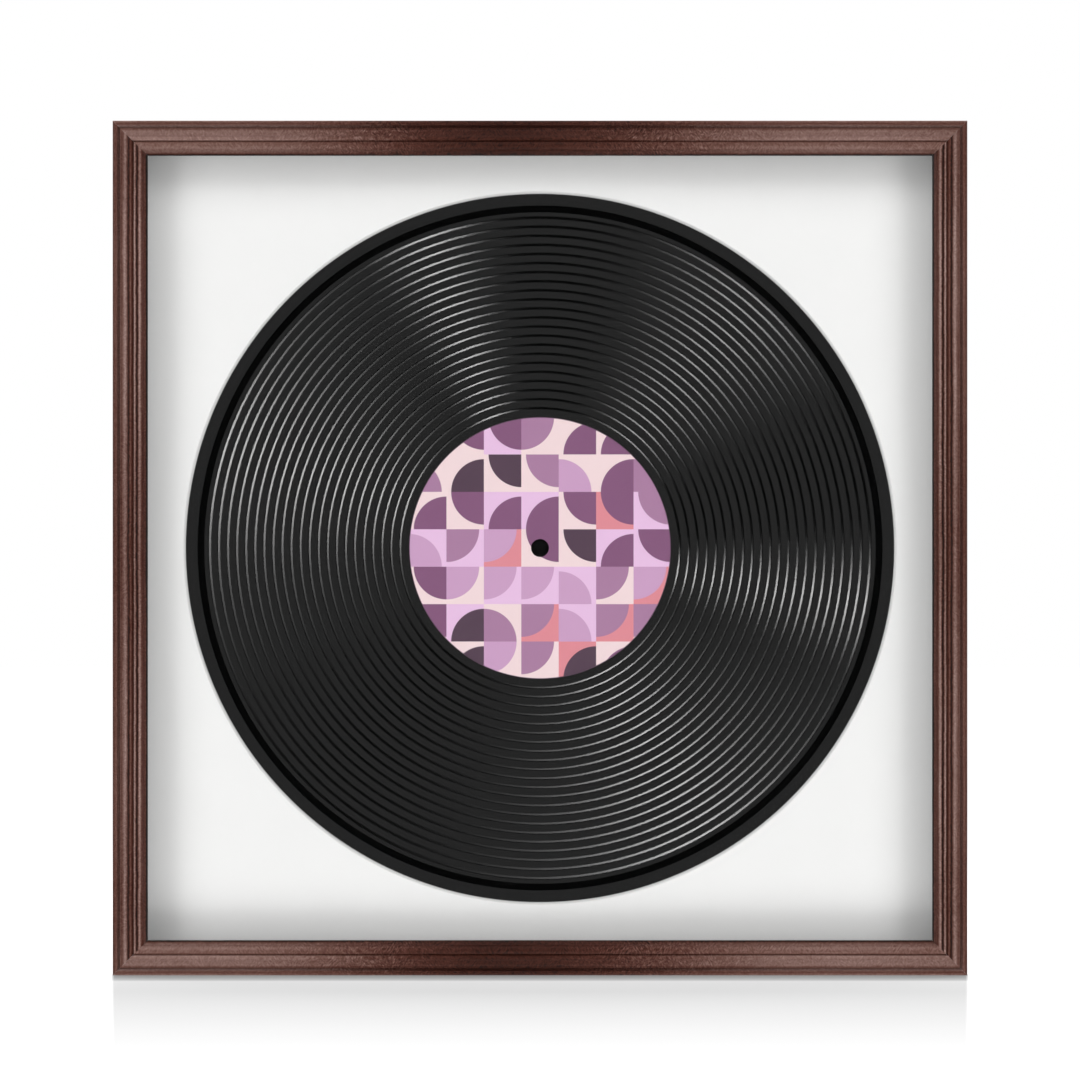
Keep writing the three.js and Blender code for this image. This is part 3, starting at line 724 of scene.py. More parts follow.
# %% Glazing
clear_acrylic, tree, end = material("clear_acrylic")
sheet = add(tree, "ShaderNodeBsdfPrincipled", {"Base Color": linear("#101212"), "Roughness": 0.03,
                                                "IOR": 1.49, "Alpha": 0.03})
tree.links.new(sheet.outputs[0], end)
glazing = frame["nodes"]["glazing_panel"].data
glazing.materials.clear()
glazing.materials.append(clear_acrylic)
print("glazed with", clear_acrylic.name)

# %% [markdown]
# The mat is white board of 1.4 mm. Its face paper is soft, with a fine tooth, so it has no gloss to speak
# of and its tone is a little uneven. The other matt sheets differ from it in colour and grain alone.

# %% Matt sheet
CLOUDS_PER_MM = 0.06


def matt_sheet(name, colour, grain_mm, depth_mm, variation):
    """Tooth + half a broad cloud sets the tone between two shades, and the tooth alone the relief."""
    made, tree, end = material(name)
    place = add(tree, "ShaderNodeTexCoord")
    tooth = add(tree, "ShaderNodeTexNoise", {"Vector": place.outputs["Object"], "Scale": 1 / (grain_mm * MM),
                                             "Detail": 4, "Roughness": 0.6})
    cloud = add(tree, "ShaderNodeTexNoise", {"Vector": place.outputs["Object"],
                                             "Scale": CLOUDS_PER_MM / MM, "Detail": 2})
    tone = add(tree, "ShaderNodeMath", {0: cloud.outputs["Fac"], 1: 0.5, 2: tooth.outputs["Fac"]},
               operation="MULTIPLY_ADD")
    base = np.array(linear(colour))
    low = (*(base[:3] * (1 - variation)).tolist(), 1)
    high = (*np.minimum(base[:3] * (1 + variation), 1).tolist(), 1)
    shade = add(tree, "ShaderNodeMapRange", {"Value": tone.outputs[0], "From Min": 0.5, "From Max": 1.0})
    paint = add(tree, "ShaderNodeMix", {"Factor": shade.outputs[0], COLOUR_A: low, COLOUR_B: high},
                data_type="RGBA")
    relief = add(tree, "ShaderNodeBump", {"Height": tooth.outputs["Fac"], "Strength": 0.5,
                                          "Distance": depth_mm * MM})
    board = add(tree, "ShaderNodeBsdfPrincipled", {"Base Color": paint.outputs[MIXED], "Roughness": 0.9,
                                                    "Specular IOR Level": 0.2,
                                                    "Normal": relief.outputs[0]})
    tree.links.new(board.outputs[0], end)
    return made


mat_paper = matt_sheet("white_mat_paper", "#f8f8f7", grain_mm=0.9, depth_mm=0.03, variation=0.012)
print("face paper:", mat_paper.name)

# %% [markdown]
# A slanted blade cuts the round opening, so a bevel of the mat's white core shows all round. The opening is
# a little smaller than the record and covers its rim. The core is painted greyer towards its foot, a painted
# shade where the bevel meets the record, so its colour goes by the distance from the middle.

# %% Cut core
MAT_COVER = 1.75 * MM
BEVEL_LEAN = 0.3 * MM
disc_low, disc_high = span("record_disc")
mat_low, mat_high = span("mat_board")
OPENING = (disc_high[0] - disc_low[0]) / 2 - MAT_COVER
BEVEL_TOP = OPENING + mat_high[1] - mat_low[1]
BEVEL_FOOT = OPENING + BEVEL_LEAN

mat_core, tree, end = material("cut_mat_core")
place = add(tree, "ShaderNodeTexCoord")
flat = add(tree, "ShaderNodeVectorMath", {0: place.outputs["Object"], 1: (1, 0, 1)}, operation="MULTIPLY")
middle_off = add(tree, "ShaderNodeVectorMath", {0: flat.outputs[0], 1: (0, 0, MIDDLE)}, operation="DISTANCE")
climb = add(tree, "ShaderNodeMapRange", {"Value": middle_off.outputs["Value"], "From Min": BEVEL_FOOT,
                                         "From Max": BEVEL_TOP})
# Painted shade: the core greyer at the bevel's foot, lighter towards the face.
core_with_foot_shade = add(tree, "ShaderNodeValToRGB", {"Fac": climb.outputs[0]},
           stops=[(0.0, linear("#cfcfce")), (1.0, linear("#f5f5f4"))])
cut = add(tree, "ShaderNodeBsdfPrincipled", {"Base Color": core_with_foot_shade.outputs[0], "Roughness": 0.9,
                                              "Specular IOR Level": 0.2})
tree.links.new(cut.outputs[0], end)
print("bevel from", BEVEL_FOOT, "to", BEVEL_TOP, "metres off the middle")

# %% [markdown]
# The mat is made as one ring of quads from the opening's circle to the outer square, so the bevel stays a
# true cone. A board with a hole cut by a boolean would leave long thin faces, which shade unevenly.

# %% Mat board
MAT_STEPS = 512
CUT_EDGE = 0.12 * MM


def mat():
    """A closed ring whose inner edge is a circle and whose outer edge is the square: at angle a the square
    lies at side / max(|cos a|, |sin a|). The opening widens towards the front by the bevel."""
    angle = np.linspace(0, 2 * np.pi, MAT_STEPS, endpoint=False)
    side = (mat_high[0] - mat_low[0]) / 2
    square = side / np.maximum(np.abs(np.cos(angle)), np.abs(np.sin(angle)))
    front, back = mat_low[1], mat_high[1]
    radii = [BEVEL_FOOT, BEVEL_TOP - CUT_EDGE, BEVEL_TOP, BEVEL_TOP + CUT_EDGE, (BEVEL_TOP + square) / 2,
             square, square]
    y = np.array([back, front + CUT_EDGE, front + CUT_EDGE / 4, front, front, front, back])[:, None]
    r = np.stack([np.broadcast_to(radius, MAT_STEPS) for radius in radii])
    points = np.stack(np.broadcast_arrays(r * np.sin(angle), y, r * np.cos(angle) + MIDDLE), -1)
    made = surface("mat_with_bevel", points, grid_faces(len(radii), MAT_STEPS, round_rows=True),
                   [mat_paper, mat_core])
    made.data.polygons.foreach_set("material_index", np.arange(len(made.data.polygons)) < MAT_STEPS)
    stand_in(made, "mat_board")


mat()

# %% [markdown]
# The record is pressed vinyl: black all through, with a mirror-like skin that a little dust hazes. The
# smooth lead-in groove beside the rim reads as the deepest black, so it gets a finish almost without
# gloss.

# %% Vinyl
DUST_PER_MM = 0.9
pressed_vinyl, tree, end = material("pressed_black_vinyl")
place = add(tree, "ShaderNodeTexCoord")
dust = add(tree, "ShaderNodeTexNoise", {"Vector": place.outputs["Object"], "Scale": DUST_PER_MM / MM,
                                        "Detail": 3})
haze = add(tree, "ShaderNodeMapRange", {"Value": dust.outputs["Fac"], "To Min": 0.09, "To Max": 0.13})
skin = add(tree, "ShaderNodeBsdfPrincipled", {"Base Color": linear("#030303"), "Roughness": haze.outputs[0],
                                               "IOR": 1.52})
tree.links.new(skin.outputs[0], end)

lead_in_black, tree, end = material("lead_in_black_vinyl")
band = add(tree, "ShaderNodeBsdfPrincipled", {"Base Color": linear("#010101"), "Roughness": 0.5,
                                               "Specular IOR Level": 0.01})
tree.links.new(band.outputs[0], end)
print("vinyl:", pressed_vinyl.name, lead_in_black.name)

# %% [markdown]
# A pressed disc has a thick pad for the label, a thinner playing face and a thick round rim, with the
# smooth lead-in groove before it. Its rings carry the whole look. They grow a little wider outwards. A
# ring steps up, then has one long gentle flank that faces outwards, and a steep way back up. So it shows
# a lamp only on the lamp's own side, and is blacker than the disc elsewhere. The step up lifts the flank
# clear of the ring's outer wall, which would hide half of it from the light.

# %% Record profile
PLAY_THICKNESS = 1.4 * MM
PAD_DROP = 0.25 * MM
PAD_EDGE, PAD_FOOT, PAD_CREASE = 56.0 * MM, 57.1 * MM, 0.08 * MM
FIRST_RING, LAST_RING = 59.09 * MM, 139.52 * MM
FIRST_WIDTH, LAST_WIDTH = 1.0 * MM, 1.2 * MM
FIRST_RISE, LAST_RISE = 0.11 * MM, 0.28 * MM
RING_GROOVES = 22
RING_WALL_SHARE, RING_TURN_SHARE = 0.03, 0.88
RING_SLOPE = math.tan(math.radians(28))
LEAD_IN_FROM, LEAD_IN_TO, LEAD_IN_DROP = 141.75 * MM, 144.65 * MM, 0.25 * MM
LEAD_IN_WALL = 0.15 * MM
RIM_ROUND = 0.8 * MM
RIM_STEPS = 6
HOLE = 3.8 * MM
HOLE_EASE = 0.2 * MM


def disc_profile():
    """Radius and height above the middle plane, from the hole outwards over the front, then back behind.
    A ring steps up at once, slopes down evenly to its turn below the face, then comes back up."""
    rim = (disc_high[0] - disc_low[0]) / 2
    bead = (disc_high[1] - disc_low[1]) / 2
    play = PLAY_THICKNESS / 2
    pad = bead - PAD_DROP
    t = np.array([0, RING_WALL_SHARE, 1.5 * RING_WALL_SHARE, 0.5, RING_TURN_SHARE - RING_WALL_SHARE,
                  RING_TURN_SHARE, 1])
    middles = np.linspace(FIRST_RING, LAST_RING, RING_GROOVES)[:, None]
    widths = np.linspace(FIRST_WIDTH, LAST_WIDTH, RING_GROOVES)[:, None]
    rises = np.linspace(FIRST_RISE, LAST_RISE, RING_GROOVES)[:, None]
    rises = np.where(t > 0, rises, 0) - RING_SLOPE * widths * np.maximum(t - RING_WALL_SHARE, 0)
    rises[:, -1] = 0
    groove_r = (middles + (t - 0.5) * widths).ravel()
    groove_h = (play + rises).ravel()
    rim_turn = np.linspace(0, np.pi / 2, RIM_STEPS)
    rim_r = rim - RIM_ROUND + RIM_ROUND * np.sin(rim_turn)
    rim_h = bead - RIM_ROUND + RIM_ROUND * np.cos(rim_turn)
    lead_r = [LEAD_IN_FROM, LEAD_IN_FROM + LEAD_IN_WALL, LEAD_IN_TO - LEAD_IN_WALL, LEAD_IN_TO]
    lead_h = [play, play - LEAD_IN_DROP, play - LEAD_IN_DROP, bead]
    pad_r = [HOLE, HOLE + HOLE_EASE, PAD_EDGE - PAD_CREASE, PAD_EDGE, PAD_FOOT, PAD_FOOT + PAD_CREASE]
    pad_h = [pad - HOLE_EASE, pad, pad, pad, play, play]
    back_r = [LEAD_IN_TO, LEAD_IN_TO - LEAD_IN_WALL, PAD_FOOT, PAD_EDGE, HOLE + HOLE_EASE, HOLE]
    back_h = [-bead, -play, -play, -pad, -pad, HOLE_EASE - pad]
    radius = np.concatenate([pad_r, groove_r, lead_r, rim_r, rim_r[::-1], back_r])
    height = np.concatenate([pad_h, groove_h, lead_h, rim_h, -rim_h[::-1], back_h])
    return radius, height


disc_radius, disc_height = disc_profile()
print("profile points:", len(disc_radius), "ring spacing", (LAST_RING - FIRST_RING) / (RING_GROOVES - 1))

# %% [markdown]
# The profile is turned about the spindle, as a disc on a lathe would be. The rings are long smooth cones
# and sharp lines, so the angle that counts as an edge is small here, or the rings' shading would run
# together.

# %% Record
DISC_STEPS = 288
DISC_EDGE_ANGLE = math.radians(16)


def record():
    """The profile turned about the spindle. Front is -Y, so heights are taken from the middle plane down."""
    middle = (disc_low[1] + disc_high[1]) / 2
    points, faces = revolve(disc_radius, middle - disc_height, [0, 0, MIDDLE], DISC_STEPS, closed=True)
    made = surface("record", points, faces, [pressed_vinyl, lead_in_black], DISC_EDGE_ANGLE)
    mesh = made.data
    centres = np.empty(len(mesh.polygons) * 3)
    mesh.polygons.foreach_get("center", centres)
    x, y, z = centres.reshape(-1, 3).T
    r = np.hypot(x, z - MIDDLE)
    in_band = (r > LEAD_IN_FROM) & (r < LEAD_IN_TO) & (y < middle)
    mesh.polygons.foreach_set("material_index", in_band.astype(np.int32))
    stand_in(made, "record_disc")


record()

# %% [markdown]
# The label is printed paper. Its print here is a plain pattern of quarter circles on square tiles, in the
# pinks and plums of such a label. A tile is found from the whole part of the place, and a random number
# for the tile picks its two colours and the corner that its quarter circle stands on.

# %% Tiles with a quarter circle
TILE = 15.8 * MM
PATTERN_SEED = 7.0
# The quarter circle's soft edge, in shares of a tile.
QUARTER_EDGE = (0.87, 0.88)
label_paper, tree, end = material("printed_label_paper")
place = add(tree, "ShaderNodeTexCoord")
tiles = add(tree, "ShaderNodeMapping", {"Vector": place.outputs["Object"],
                                        "Location": (0.5, 0, -MIDDLE / TILE + 0.5),
                                        "Scale": (1 / TILE, 1 / TILE, 1 / TILE)})
axes = add(tree, "ShaderNodeSeparateXYZ", {0: tiles.outputs[0]})
cell_x = add(tree, "ShaderNodeMath", {0: axes.outputs["X"]}, operation="FLOOR")
cell_z = add(tree, "ShaderNodeMath", {0: axes.outputs["Z"]}, operation="FLOOR")
in_x = add(tree, "ShaderNodeMath", {0: axes.outputs["X"], 1: cell_x.outputs[0]}, operation="SUBTRACT")
in_z = add(tree, "ShaderNodeMath", {0: axes.outputs["Z"], 1: cell_z.outputs[0]}, operation="SUBTRACT")
cell = add(tree, "ShaderNodeCombineXYZ", {0: cell_x.outputs[0], 1: PATTERN_SEED, 2: cell_z.outputs[0]})
dice = add(tree, "ShaderNodeTexWhiteNoise", {"Vector": cell.outputs[0]}, noise_dimensions="3D")
rolled = add(tree, "ShaderNodeSeparateColor", {0: dice.outputs["Color"]})
corner_x = add(tree, "ShaderNodeMath", {0: rolled.outputs[0], 1: 0.5}, operation="GREATER_THAN")
corner_z = add(tree, "ShaderNodeMath", {0: rolled.outputs[1], 1: 0.5}, operation="GREATER_THAN")
off_x = add(tree, "ShaderNodeMath", {0: in_x.outputs[0], 1: corner_x.outputs[0]}, operation="SUBTRACT")
off_z = add(tree, "ShaderNodeMath", {0: in_z.outputs[0], 1: corner_z.outputs[0]}, operation="SUBTRACT")
off = add(tree, "ShaderNodeCombineXYZ", {0: off_x.outputs[0], 2: off_z.outputs[0]})
far = add(tree, "ShaderNodeVectorMath", {0: off.outputs[0]}, operation="LENGTH")
inside = add(tree, "ShaderNodeMapRange", {"Value": far.outputs["Value"], "From Min": QUARTER_EDGE[0],
                                          "From Max": QUARTER_EDGE[1], "To Min": 1.0, "To Max": 0.0})
print("side of a tile in metres:", TILE)

# %% [markdown]
# Light inks fill the tiles and dark ones the quarter circles. Each ink has its share of the dice's range,
# so a ramp with hard steps hands them out. A thin dark line runs round the label's edge.

# %% Inks and paper
LABEL_LINE = 55.0 * MM
PAPER_FIBRES_PER_MM = 2.5
PINK, LAVENDER, MAUVE = linear("#f5dcde"), linear("#ebc3e6"), linear("#aa7da0")
PLUM, DARK_PLUM, CORAL, ROSE = linear("#825578"), linear("#503c4b"), linear("#e18c96"), linear("#cda0c6")
light_ink = add(tree, "ShaderNodeValToRGB", {"Fac": rolled.outputs[2]},
                stops=[(0.0, PINK), (0.5, LAVENDER), (0.86, CORAL)])
dark_ink = add(tree, "ShaderNodeValToRGB", {"Fac": dice.outputs["Value"]},
               stops=[(0.0, ROSE), (0.24, MAUVE), (0.56, PLUM), (0.84, DARK_PLUM)])
light_ink.color_ramp.interpolation = dark_ink.color_ramp.interpolation = "CONSTANT"
ink = add(tree, "ShaderNodeMix", {"Factor": inside.outputs[0], COLOUR_A: light_ink.outputs[0],
                                  COLOUR_B: dark_ink.outputs[0]}, data_type="RGBA")
flat = add(tree, "ShaderNodeVectorMath", {0: place.outputs["Object"], 1: (1, 0, 1)}, operation="MULTIPLY")
spindle = add(tree, "ShaderNodeVectorMath", {0: flat.outputs[0], 1: (0, 0, MIDDLE)}, operation="DISTANCE")
edge_line = add(tree, "ShaderNodeMath", {0: spindle.outputs["Value"], 1: LABEL_LINE},
                operation="GREATER_THAN")
bordered = add(tree, "ShaderNodeMix", {"Factor": edge_line.outputs[0], COLOUR_A: ink.outputs[MIXED],
                                       COLOUR_B: DARK_PLUM}, data_type="RGBA")
fibre = add(tree, "ShaderNodeTexNoise", {"Vector": place.outputs["Object"],
                                         "Scale": PAPER_FIBRES_PER_MM / MM, "Detail": 2})
relief = add(tree, "ShaderNodeBump", {"Height": fibre.outputs["Fac"], "Strength": 0.3,
                                      "Distance": 0.01 * MM})
printed = add(tree, "ShaderNodeBsdfPrincipled", {"Base Color": bordered.outputs[MIXED], "Roughness": 0.55,
                                                 "Normal": relief.outputs[0]})
tree.links.new(printed.outputs[0], end)
print("printed on", label_paper.name)

# %% [markdown]
# Each side of the disc carries one label, a washer of paper round the spindle hole. Its outer edge is a
# little rounded, as pressing it into the hot vinyl leaves it.

# %% Labels
LABEL_STEPS = 192
LABEL_EASE = 0.06 * MM


def label(name, node):
    """A paper washer: hole edge, face, soft outer edge and back, turned about the spindle."""
    low, high = span(node)
    rim = (high[0] - low[0]) / 2
    radius = [HOLE, HOLE, rim - LABEL_EASE, rim, rim, rim - LABEL_EASE]
    y = [high[1], low[1], low[1], low[1] + LABEL_EASE, high[1] - LABEL_EASE, high[1]]
    points, faces = revolve(radius, y, [0, 0, MIDDLE], LABEL_STEPS, closed=True)
    stand_in(surface(name, points, faces, [label_paper]), node)


label("front_label", "record_label_front")
label("back_label", "record_label_back")

# %% [markdown]
# The back is hardboard, wood fibre pressed with heat: brown, with clots of longer fibre. Its front is
# black, which the spindle hole shows.

# %% Hardboard
BOARD_FIBRES_PER_MM, CLOTS_PER_MM, CLOT_SHARE = 0.7, 0.034, 0.15


def hardboard():
    """Tone = fibres + share clots, two sizes of noise. The half that looks forwards is black."""
    made, tree, end = material("brown_hardboard")
    place = add(tree, "ShaderNodeTexCoord")
    fibres = add(tree, "ShaderNodeTexNoise", {"Vector": place.outputs["Object"], "Detail": 6,
                                              "Scale": BOARD_FIBRES_PER_MM / MM, "Roughness": 0.7,
                                              "Distortion": 1.2})
    clots = add(tree, "ShaderNodeTexNoise", {"Vector": place.outputs["Object"],
                                             "Scale": CLOTS_PER_MM / MM, "Detail": 3})
    mixed = add(tree, "ShaderNodeMath", {0: clots.outputs["Fac"], 1: CLOT_SHARE,
                                         2: fibres.outputs["Fac"]}, operation="MULTIPLY_ADD")
    brown = add(tree, "ShaderNodeValToRGB", {"Fac": mixed.outputs[0]},
                stops=[(0.35, linear("#3f2a1a")), (0.57, linear("#5f4229")), (0.8, linear("#7d5b3d"))])
    axes = add(tree, "ShaderNodeSeparateXYZ", {0: place.outputs["Object"]})
    low, high = span("backing_board")
    front = add(tree, "ShaderNodeMath", {0: axes.outputs["Y"], 1: float(low[1] + high[1]) / 2},
                operation="LESS_THAN")
    paint = add(tree, "ShaderNodeMix", {"Factor": front.outputs[0], COLOUR_A: brown.outputs[0],
                                        COLOUR_B: linear("#060606")}, data_type="RGBA")
    relief = add(tree, "ShaderNodeBump", {"Height": fibres.outputs["Fac"], "Strength": 0.4,
                                          "Distance": 0.05 * MM})
    board = add(tree, "ShaderNodeBsdfPrincipled", {"Base Color": paint.outputs[MIXED], "Roughness": 0.7,
                                                    "Specular IOR Level": 0.12,
                                                    "Normal": relief.outputs[0]})
    tree.links.new(board.outputs[0], end)
    return made


brown_hardboard = hardboard()
print("back:", brown_hardboard.name)

# %% [markdown]
# Behind the record come plain sheets and strips whose shape is already right: the card that centres the
# disc, the black spacers that hold the mat off the glazing, and the back. They keep their meshes and get
# their finish.

# %% Sheets behind
centring_card = matt_sheet("centring_card", "#dedcd8", grain_mm=1.2, depth_mm=0.02, variation=0.02)
spacer_plastic = matt_sheet("extruded_black_plastic", "#1a1a1a", grain_mm=2.0, depth_mm=0.004,
                            variation=0.01)
finishes = {"centring_board": centring_card, "backing_board": brown_hardboard}
finishes.update({f"spacer_{side}": spacer_plastic for side in TURNS})
for node, finish in finishes.items():
    mesh = frame["nodes"][node].data
    mesh.materials.clear()
    mesh.materials.append(finish)
print("finished in place:", sorted(finishes))

# %% [markdown]
# Buttons and screws are brass-plated and tumbled, the hanger and the nails are zinc-plated. Tumbling and
# handling leave fine scratches, which dull the gloss here and there, and a plating's tone varies softly.

# %% Metals
HANDLING_PER_MM = 0.18
SCRATCH_TURN, SCRATCH_STRETCH = math.radians(31), 0.08
GLOSS_SWING = 0.3


def metal(name, dark, bright, rough, scratch_mm):
    """A long fine noise sets the relief and the roughness, rough (1 - swing) to rough (1 + swing). A broad
    noise goes from the dark tone to the bright one."""
    made, tree, end = material(name)
    place = add(tree, "ShaderNodeTexCoord")
    long_way = add(tree, "ShaderNodeMapping", {"Vector": place.outputs["Object"],
                                               "Scale": (1, 1, SCRATCH_STRETCH),
                                               "Rotation": (0, SCRATCH_TURN, 0)})
    scratches = add(tree, "ShaderNodeTexNoise", {"Vector": long_way.outputs[0],
                                                 "Scale": 1 / (scratch_mm * MM), "Detail": 4})
    handling = add(tree, "ShaderNodeTexNoise", {"Vector": place.outputs["Object"],
                                                "Scale": HANDLING_PER_MM / MM, "Detail": 2})
    plate = add(tree, "ShaderNodeValToRGB", {"Fac": handling.outputs["Fac"]},
                stops=[(0.3, linear(dark)), (0.7, linear(bright))])
    dull = add(tree, "ShaderNodeMapRange", {"Value": scratches.outputs["Fac"], "From Min": 0.3,
                                            "From Max": 0.7, "To Min": rough * (1 - GLOSS_SWING),
                                            "To Max": rough * (1 + GLOSS_SWING)})
    relief = add(tree, "ShaderNodeBump", {"Height": scratches.outputs["Fac"], "Strength": 0.2,
                                          "Distance": 0.01 * MM})
    body = add(tree, "ShaderNodeBsdfPrincipled", {"Base Color": plate.outputs[0], "Metallic": 1.0,
                                                   "Roughness": dull.outputs[0],
                                                   "Normal": relief.outputs[0]})
    tree.links.new(body.outputs[0], end)
    return made


brass = metal("tumbled_brass_plate", "#b08a4a", "#d3b06a", rough=0.3, scratch_mm=0.25)
steel = metal("zinc_plated_steel", "#9d9c98", "#c4c3bf", rough=0.34, scratch_mm=0.2)
print("metals:", brass.name, steel.name)

# %% [markdown]
# Turn buttons are stamped from sheet, so their edges are soft. A button is round at its screw and tapers
# to a rounded nose that presses on the back. Its outline is known as a distance in each direction from
# the screw, so the plate is made of rings that grow from the round eye into that outline.

# %% Turn button
BUTTON_END, BUTTON_NOSE, BUTTON_REACH = 3.9 * MM, 2.9 * MM, 13 * MM
BUTTON_EDGE, BUTTON_EYE = 0.3 * MM, 1.45 * MM
BUTTON_STEPS = 128
END_STEPS, NOSE_STEPS, SIDE_STEPS, EDGE_STEPS = 60, 40, 40, 4


def button_outline(angle):
    """Distance from the screw to the edge in each direction, for a circle at the screw, a smaller one at the
    nose and the two straight lines that touch both."""
    lean = math.asin((BUTTON_END - BUTTON_NOSE) / BUTTON_REACH)
    end = np.linspace(math.pi - lean, 2 * math.pi + lean, END_STEPS)
    nose = np.linspace(lean, math.pi - lean, NOSE_STEPS)
    t = np.linspace(0, 1, SIDE_STEPS)[1:-1]
    side_x = (BUTTON_END + t * (BUTTON_NOSE - BUTTON_END)) * math.cos(lean)
    side_z = (BUTTON_END + t * (BUTTON_NOSE - BUTTON_END)) * math.sin(lean) + t * BUTTON_REACH
    x = np.concatenate([BUTTON_END * np.cos(end), side_x, -side_x, BUTTON_NOSE * np.cos(nose)])
    z = np.concatenate([BUTTON_END * np.sin(end), side_z, side_z, BUTTON_REACH + BUTTON_NOSE * np.sin(nose)])
    around = np.arctan2(x, z)
    order = np.argsort(around)
    return np.interp(angle, around[order], np.hypot(x, z)[order], period=2 * np.pi)


def turn_button(node, centre, turn):
    """Rings from the eye over the front to the outline and back behind. At the rim
    r = edge(a) - e (1 - sin q) and y = front + e (1 - cos q) over a quarter turn q, and likewise behind."""
    low, high = span(node)
    front, back = low[1], high[1]
    angle = np.linspace(-np.pi, np.pi, BUTTON_STEPS, endpoint=False)
    edge = button_outline(angle)
    quarter = np.linspace(0, np.pi / 2, EDGE_STEPS)[:, None]
    outwards, inwards = BUTTON_EDGE * (1 - np.sin(quarter)), BUTTON_EDGE * (1 - np.cos(quarter))
    eye = np.repeat([[BUTTON_EYE], [BUTTON_EYE + BUTTON_EDGE / 2]], BUTTON_STEPS, 1)
    r = np.vstack([eye, edge - outwards, edge - inwards, eye[::-1]])
    y = np.vstack([[[front + BUTTON_EDGE / 2], [front]], front + inwards, back - outwards,
                   [[back], [back - BUTTON_EDGE / 2]]])
    direction = angle + turn
    points = np.stack(np.broadcast_arrays(r * np.sin(direction), y, r * np.cos(direction)), -1)
    made = surface(f"plate_{node}", points + [centre[0], 0, centre[2]],
                   grid_faces(len(r), BUTTON_STEPS, round_rows=True), [brass])
    stand_in(made, node, node)


print("button from", BUTTON_END, "behind its screw to", BUTTON_REACH + BUTTON_NOSE, "before it")

# %% [markdown]
# A pan-head screw holds each button. Its head is low and domed, with a cross-shaped recess. A recess cut
# by a boolean would have knife edges, so the head's height is a function of the place, which dips where
# an arm of the cross lies.

# %% Cross-head screw
SCREW_RADIUS, SCREW_POINT, SCREW_TIP = 1.3 * MM, 2.2 * MM, 0.02 * MM
SCREW_STEPS = 96
HEAD_SEAT = 1.4 * MM
HEAD_EDGE, HEAD_FULLNESS = 0.32, 2.6
SMALL_EDGE_ANGLE = math.radians(40)
# Shares of the head's radius, close together where the recess is.
HEAD_RINGS = np.concatenate([np.linspace(0, 0.93, 26), [0.97, 1]])
CROSS_ARM, CROSS_HALF_WIDTH, CROSS_DEPTH = 1.5 * MM, 0.3 * MM, 0.75 * MM
CROSS_TAPER, CROSS_WALL, CROSS_RUN_OUT = 0.5, 0.12 * MM, 0.5 * MM


def head_height(x, z, head):
    """Share of the head's height, edge + (1 - edge) sqrt(1 - (r / head)^fullness), and how much of the
    recess is there, from 0 to 1, by the distance to an arm's side and to its end. Arms narrow outwards."""
    r = np.hypot(x, z) / head
    dome = HEAD_EDGE + (1 - HEAD_EDGE) * np.sqrt(np.maximum(1 - r**HEAD_FULLNESS, 0))
    side = np.minimum(np.abs(x), np.abs(z))
    end = np.maximum(np.abs(x), np.abs(z))
    half_width = CROSS_HALF_WIDTH * (1 + CROSS_TAPER / 2 - CROSS_TAPER * end / CROSS_ARM)
    across = np.clip((half_width - side) / CROSS_WALL + 0.5, 0, 1)
    along = np.clip((CROSS_ARM - end) / CROSS_RUN_OUT, 0, 1)
    return dome, across * along


def cross_screw(node):
    """Rings over the head and down the shank: y = seat + crown dome - depth recess on the head, and a plain
    profile of radius and depth below it, closed by one small face at the point."""
    low, high = span(node)
    centre = (low + high) / 2
    head = (high[0] - low[0]) / 2
    seat = RAIL_BACK + HEAD_SEAT
    below_r = np.array([head, SCREW_RADIUS, SCREW_RADIUS, SCREW_TIP])
    below_y = np.array([seat, seat, low[1] + SCREW_POINT, low[1]])
    angle = np.linspace(0, 2 * np.pi, SCREW_STEPS, endpoint=False)
    r = np.concatenate([HEAD_RINGS * head, below_r])[:, None]
    x, z = r * np.sin(angle), r * np.cos(angle)
    dome, recess = head_height(x[: len(HEAD_RINGS)], z[: len(HEAD_RINGS)], head)
    top = seat + (high[1] - seat) * dome - CROSS_DEPTH * recess
    y = np.vstack([top, np.repeat(below_y[:, None], SCREW_STEPS, 1)])
    points = np.stack([x, y, z], -1) + [centre[0], 0, centre[2]]
    point_face = range((len(r) - 1) * SCREW_STEPS, len(r) * SCREW_STEPS)
    made = surface(f"head_{node}", points, [*grid_faces(len(r), SCREW_STEPS), point_face], [brass],
                   SMALL_EDGE_ANGLE)
    stand_in(made, node)

# %% [markdown]
# Each of the eight buttons rides on its own body, which has its name, and swings about its screw, which
# stays with the frame. The direction from the joint to the middle of its piece says where the nose points
# at rest.

# %% Buttons and screws in place
for joint in frame["joints"]:
    button = joint["child"]
    pivot = np.array(joint["pos_m"])
    low, high = span(button)
    to_nose = (low + high) / 2 - pivot
    turn_button(button, pivot, math.atan2(to_nose[0], to_nose[2]))
    cross_screw(button.replace("turn_button", "button_screw"))

# %% [markdown]
# The hanger and the corner nails are stamped from steel strip. Their shape is already there, so a merged
# copy of it only gets its edges broken.

# %% Stamped strip
FACET_GAP = 1e-6
FLAT_ANGLE, CORNER_ANGLE, STRIP_EDGE_ANGLE = np.radians([1, 28, 30])


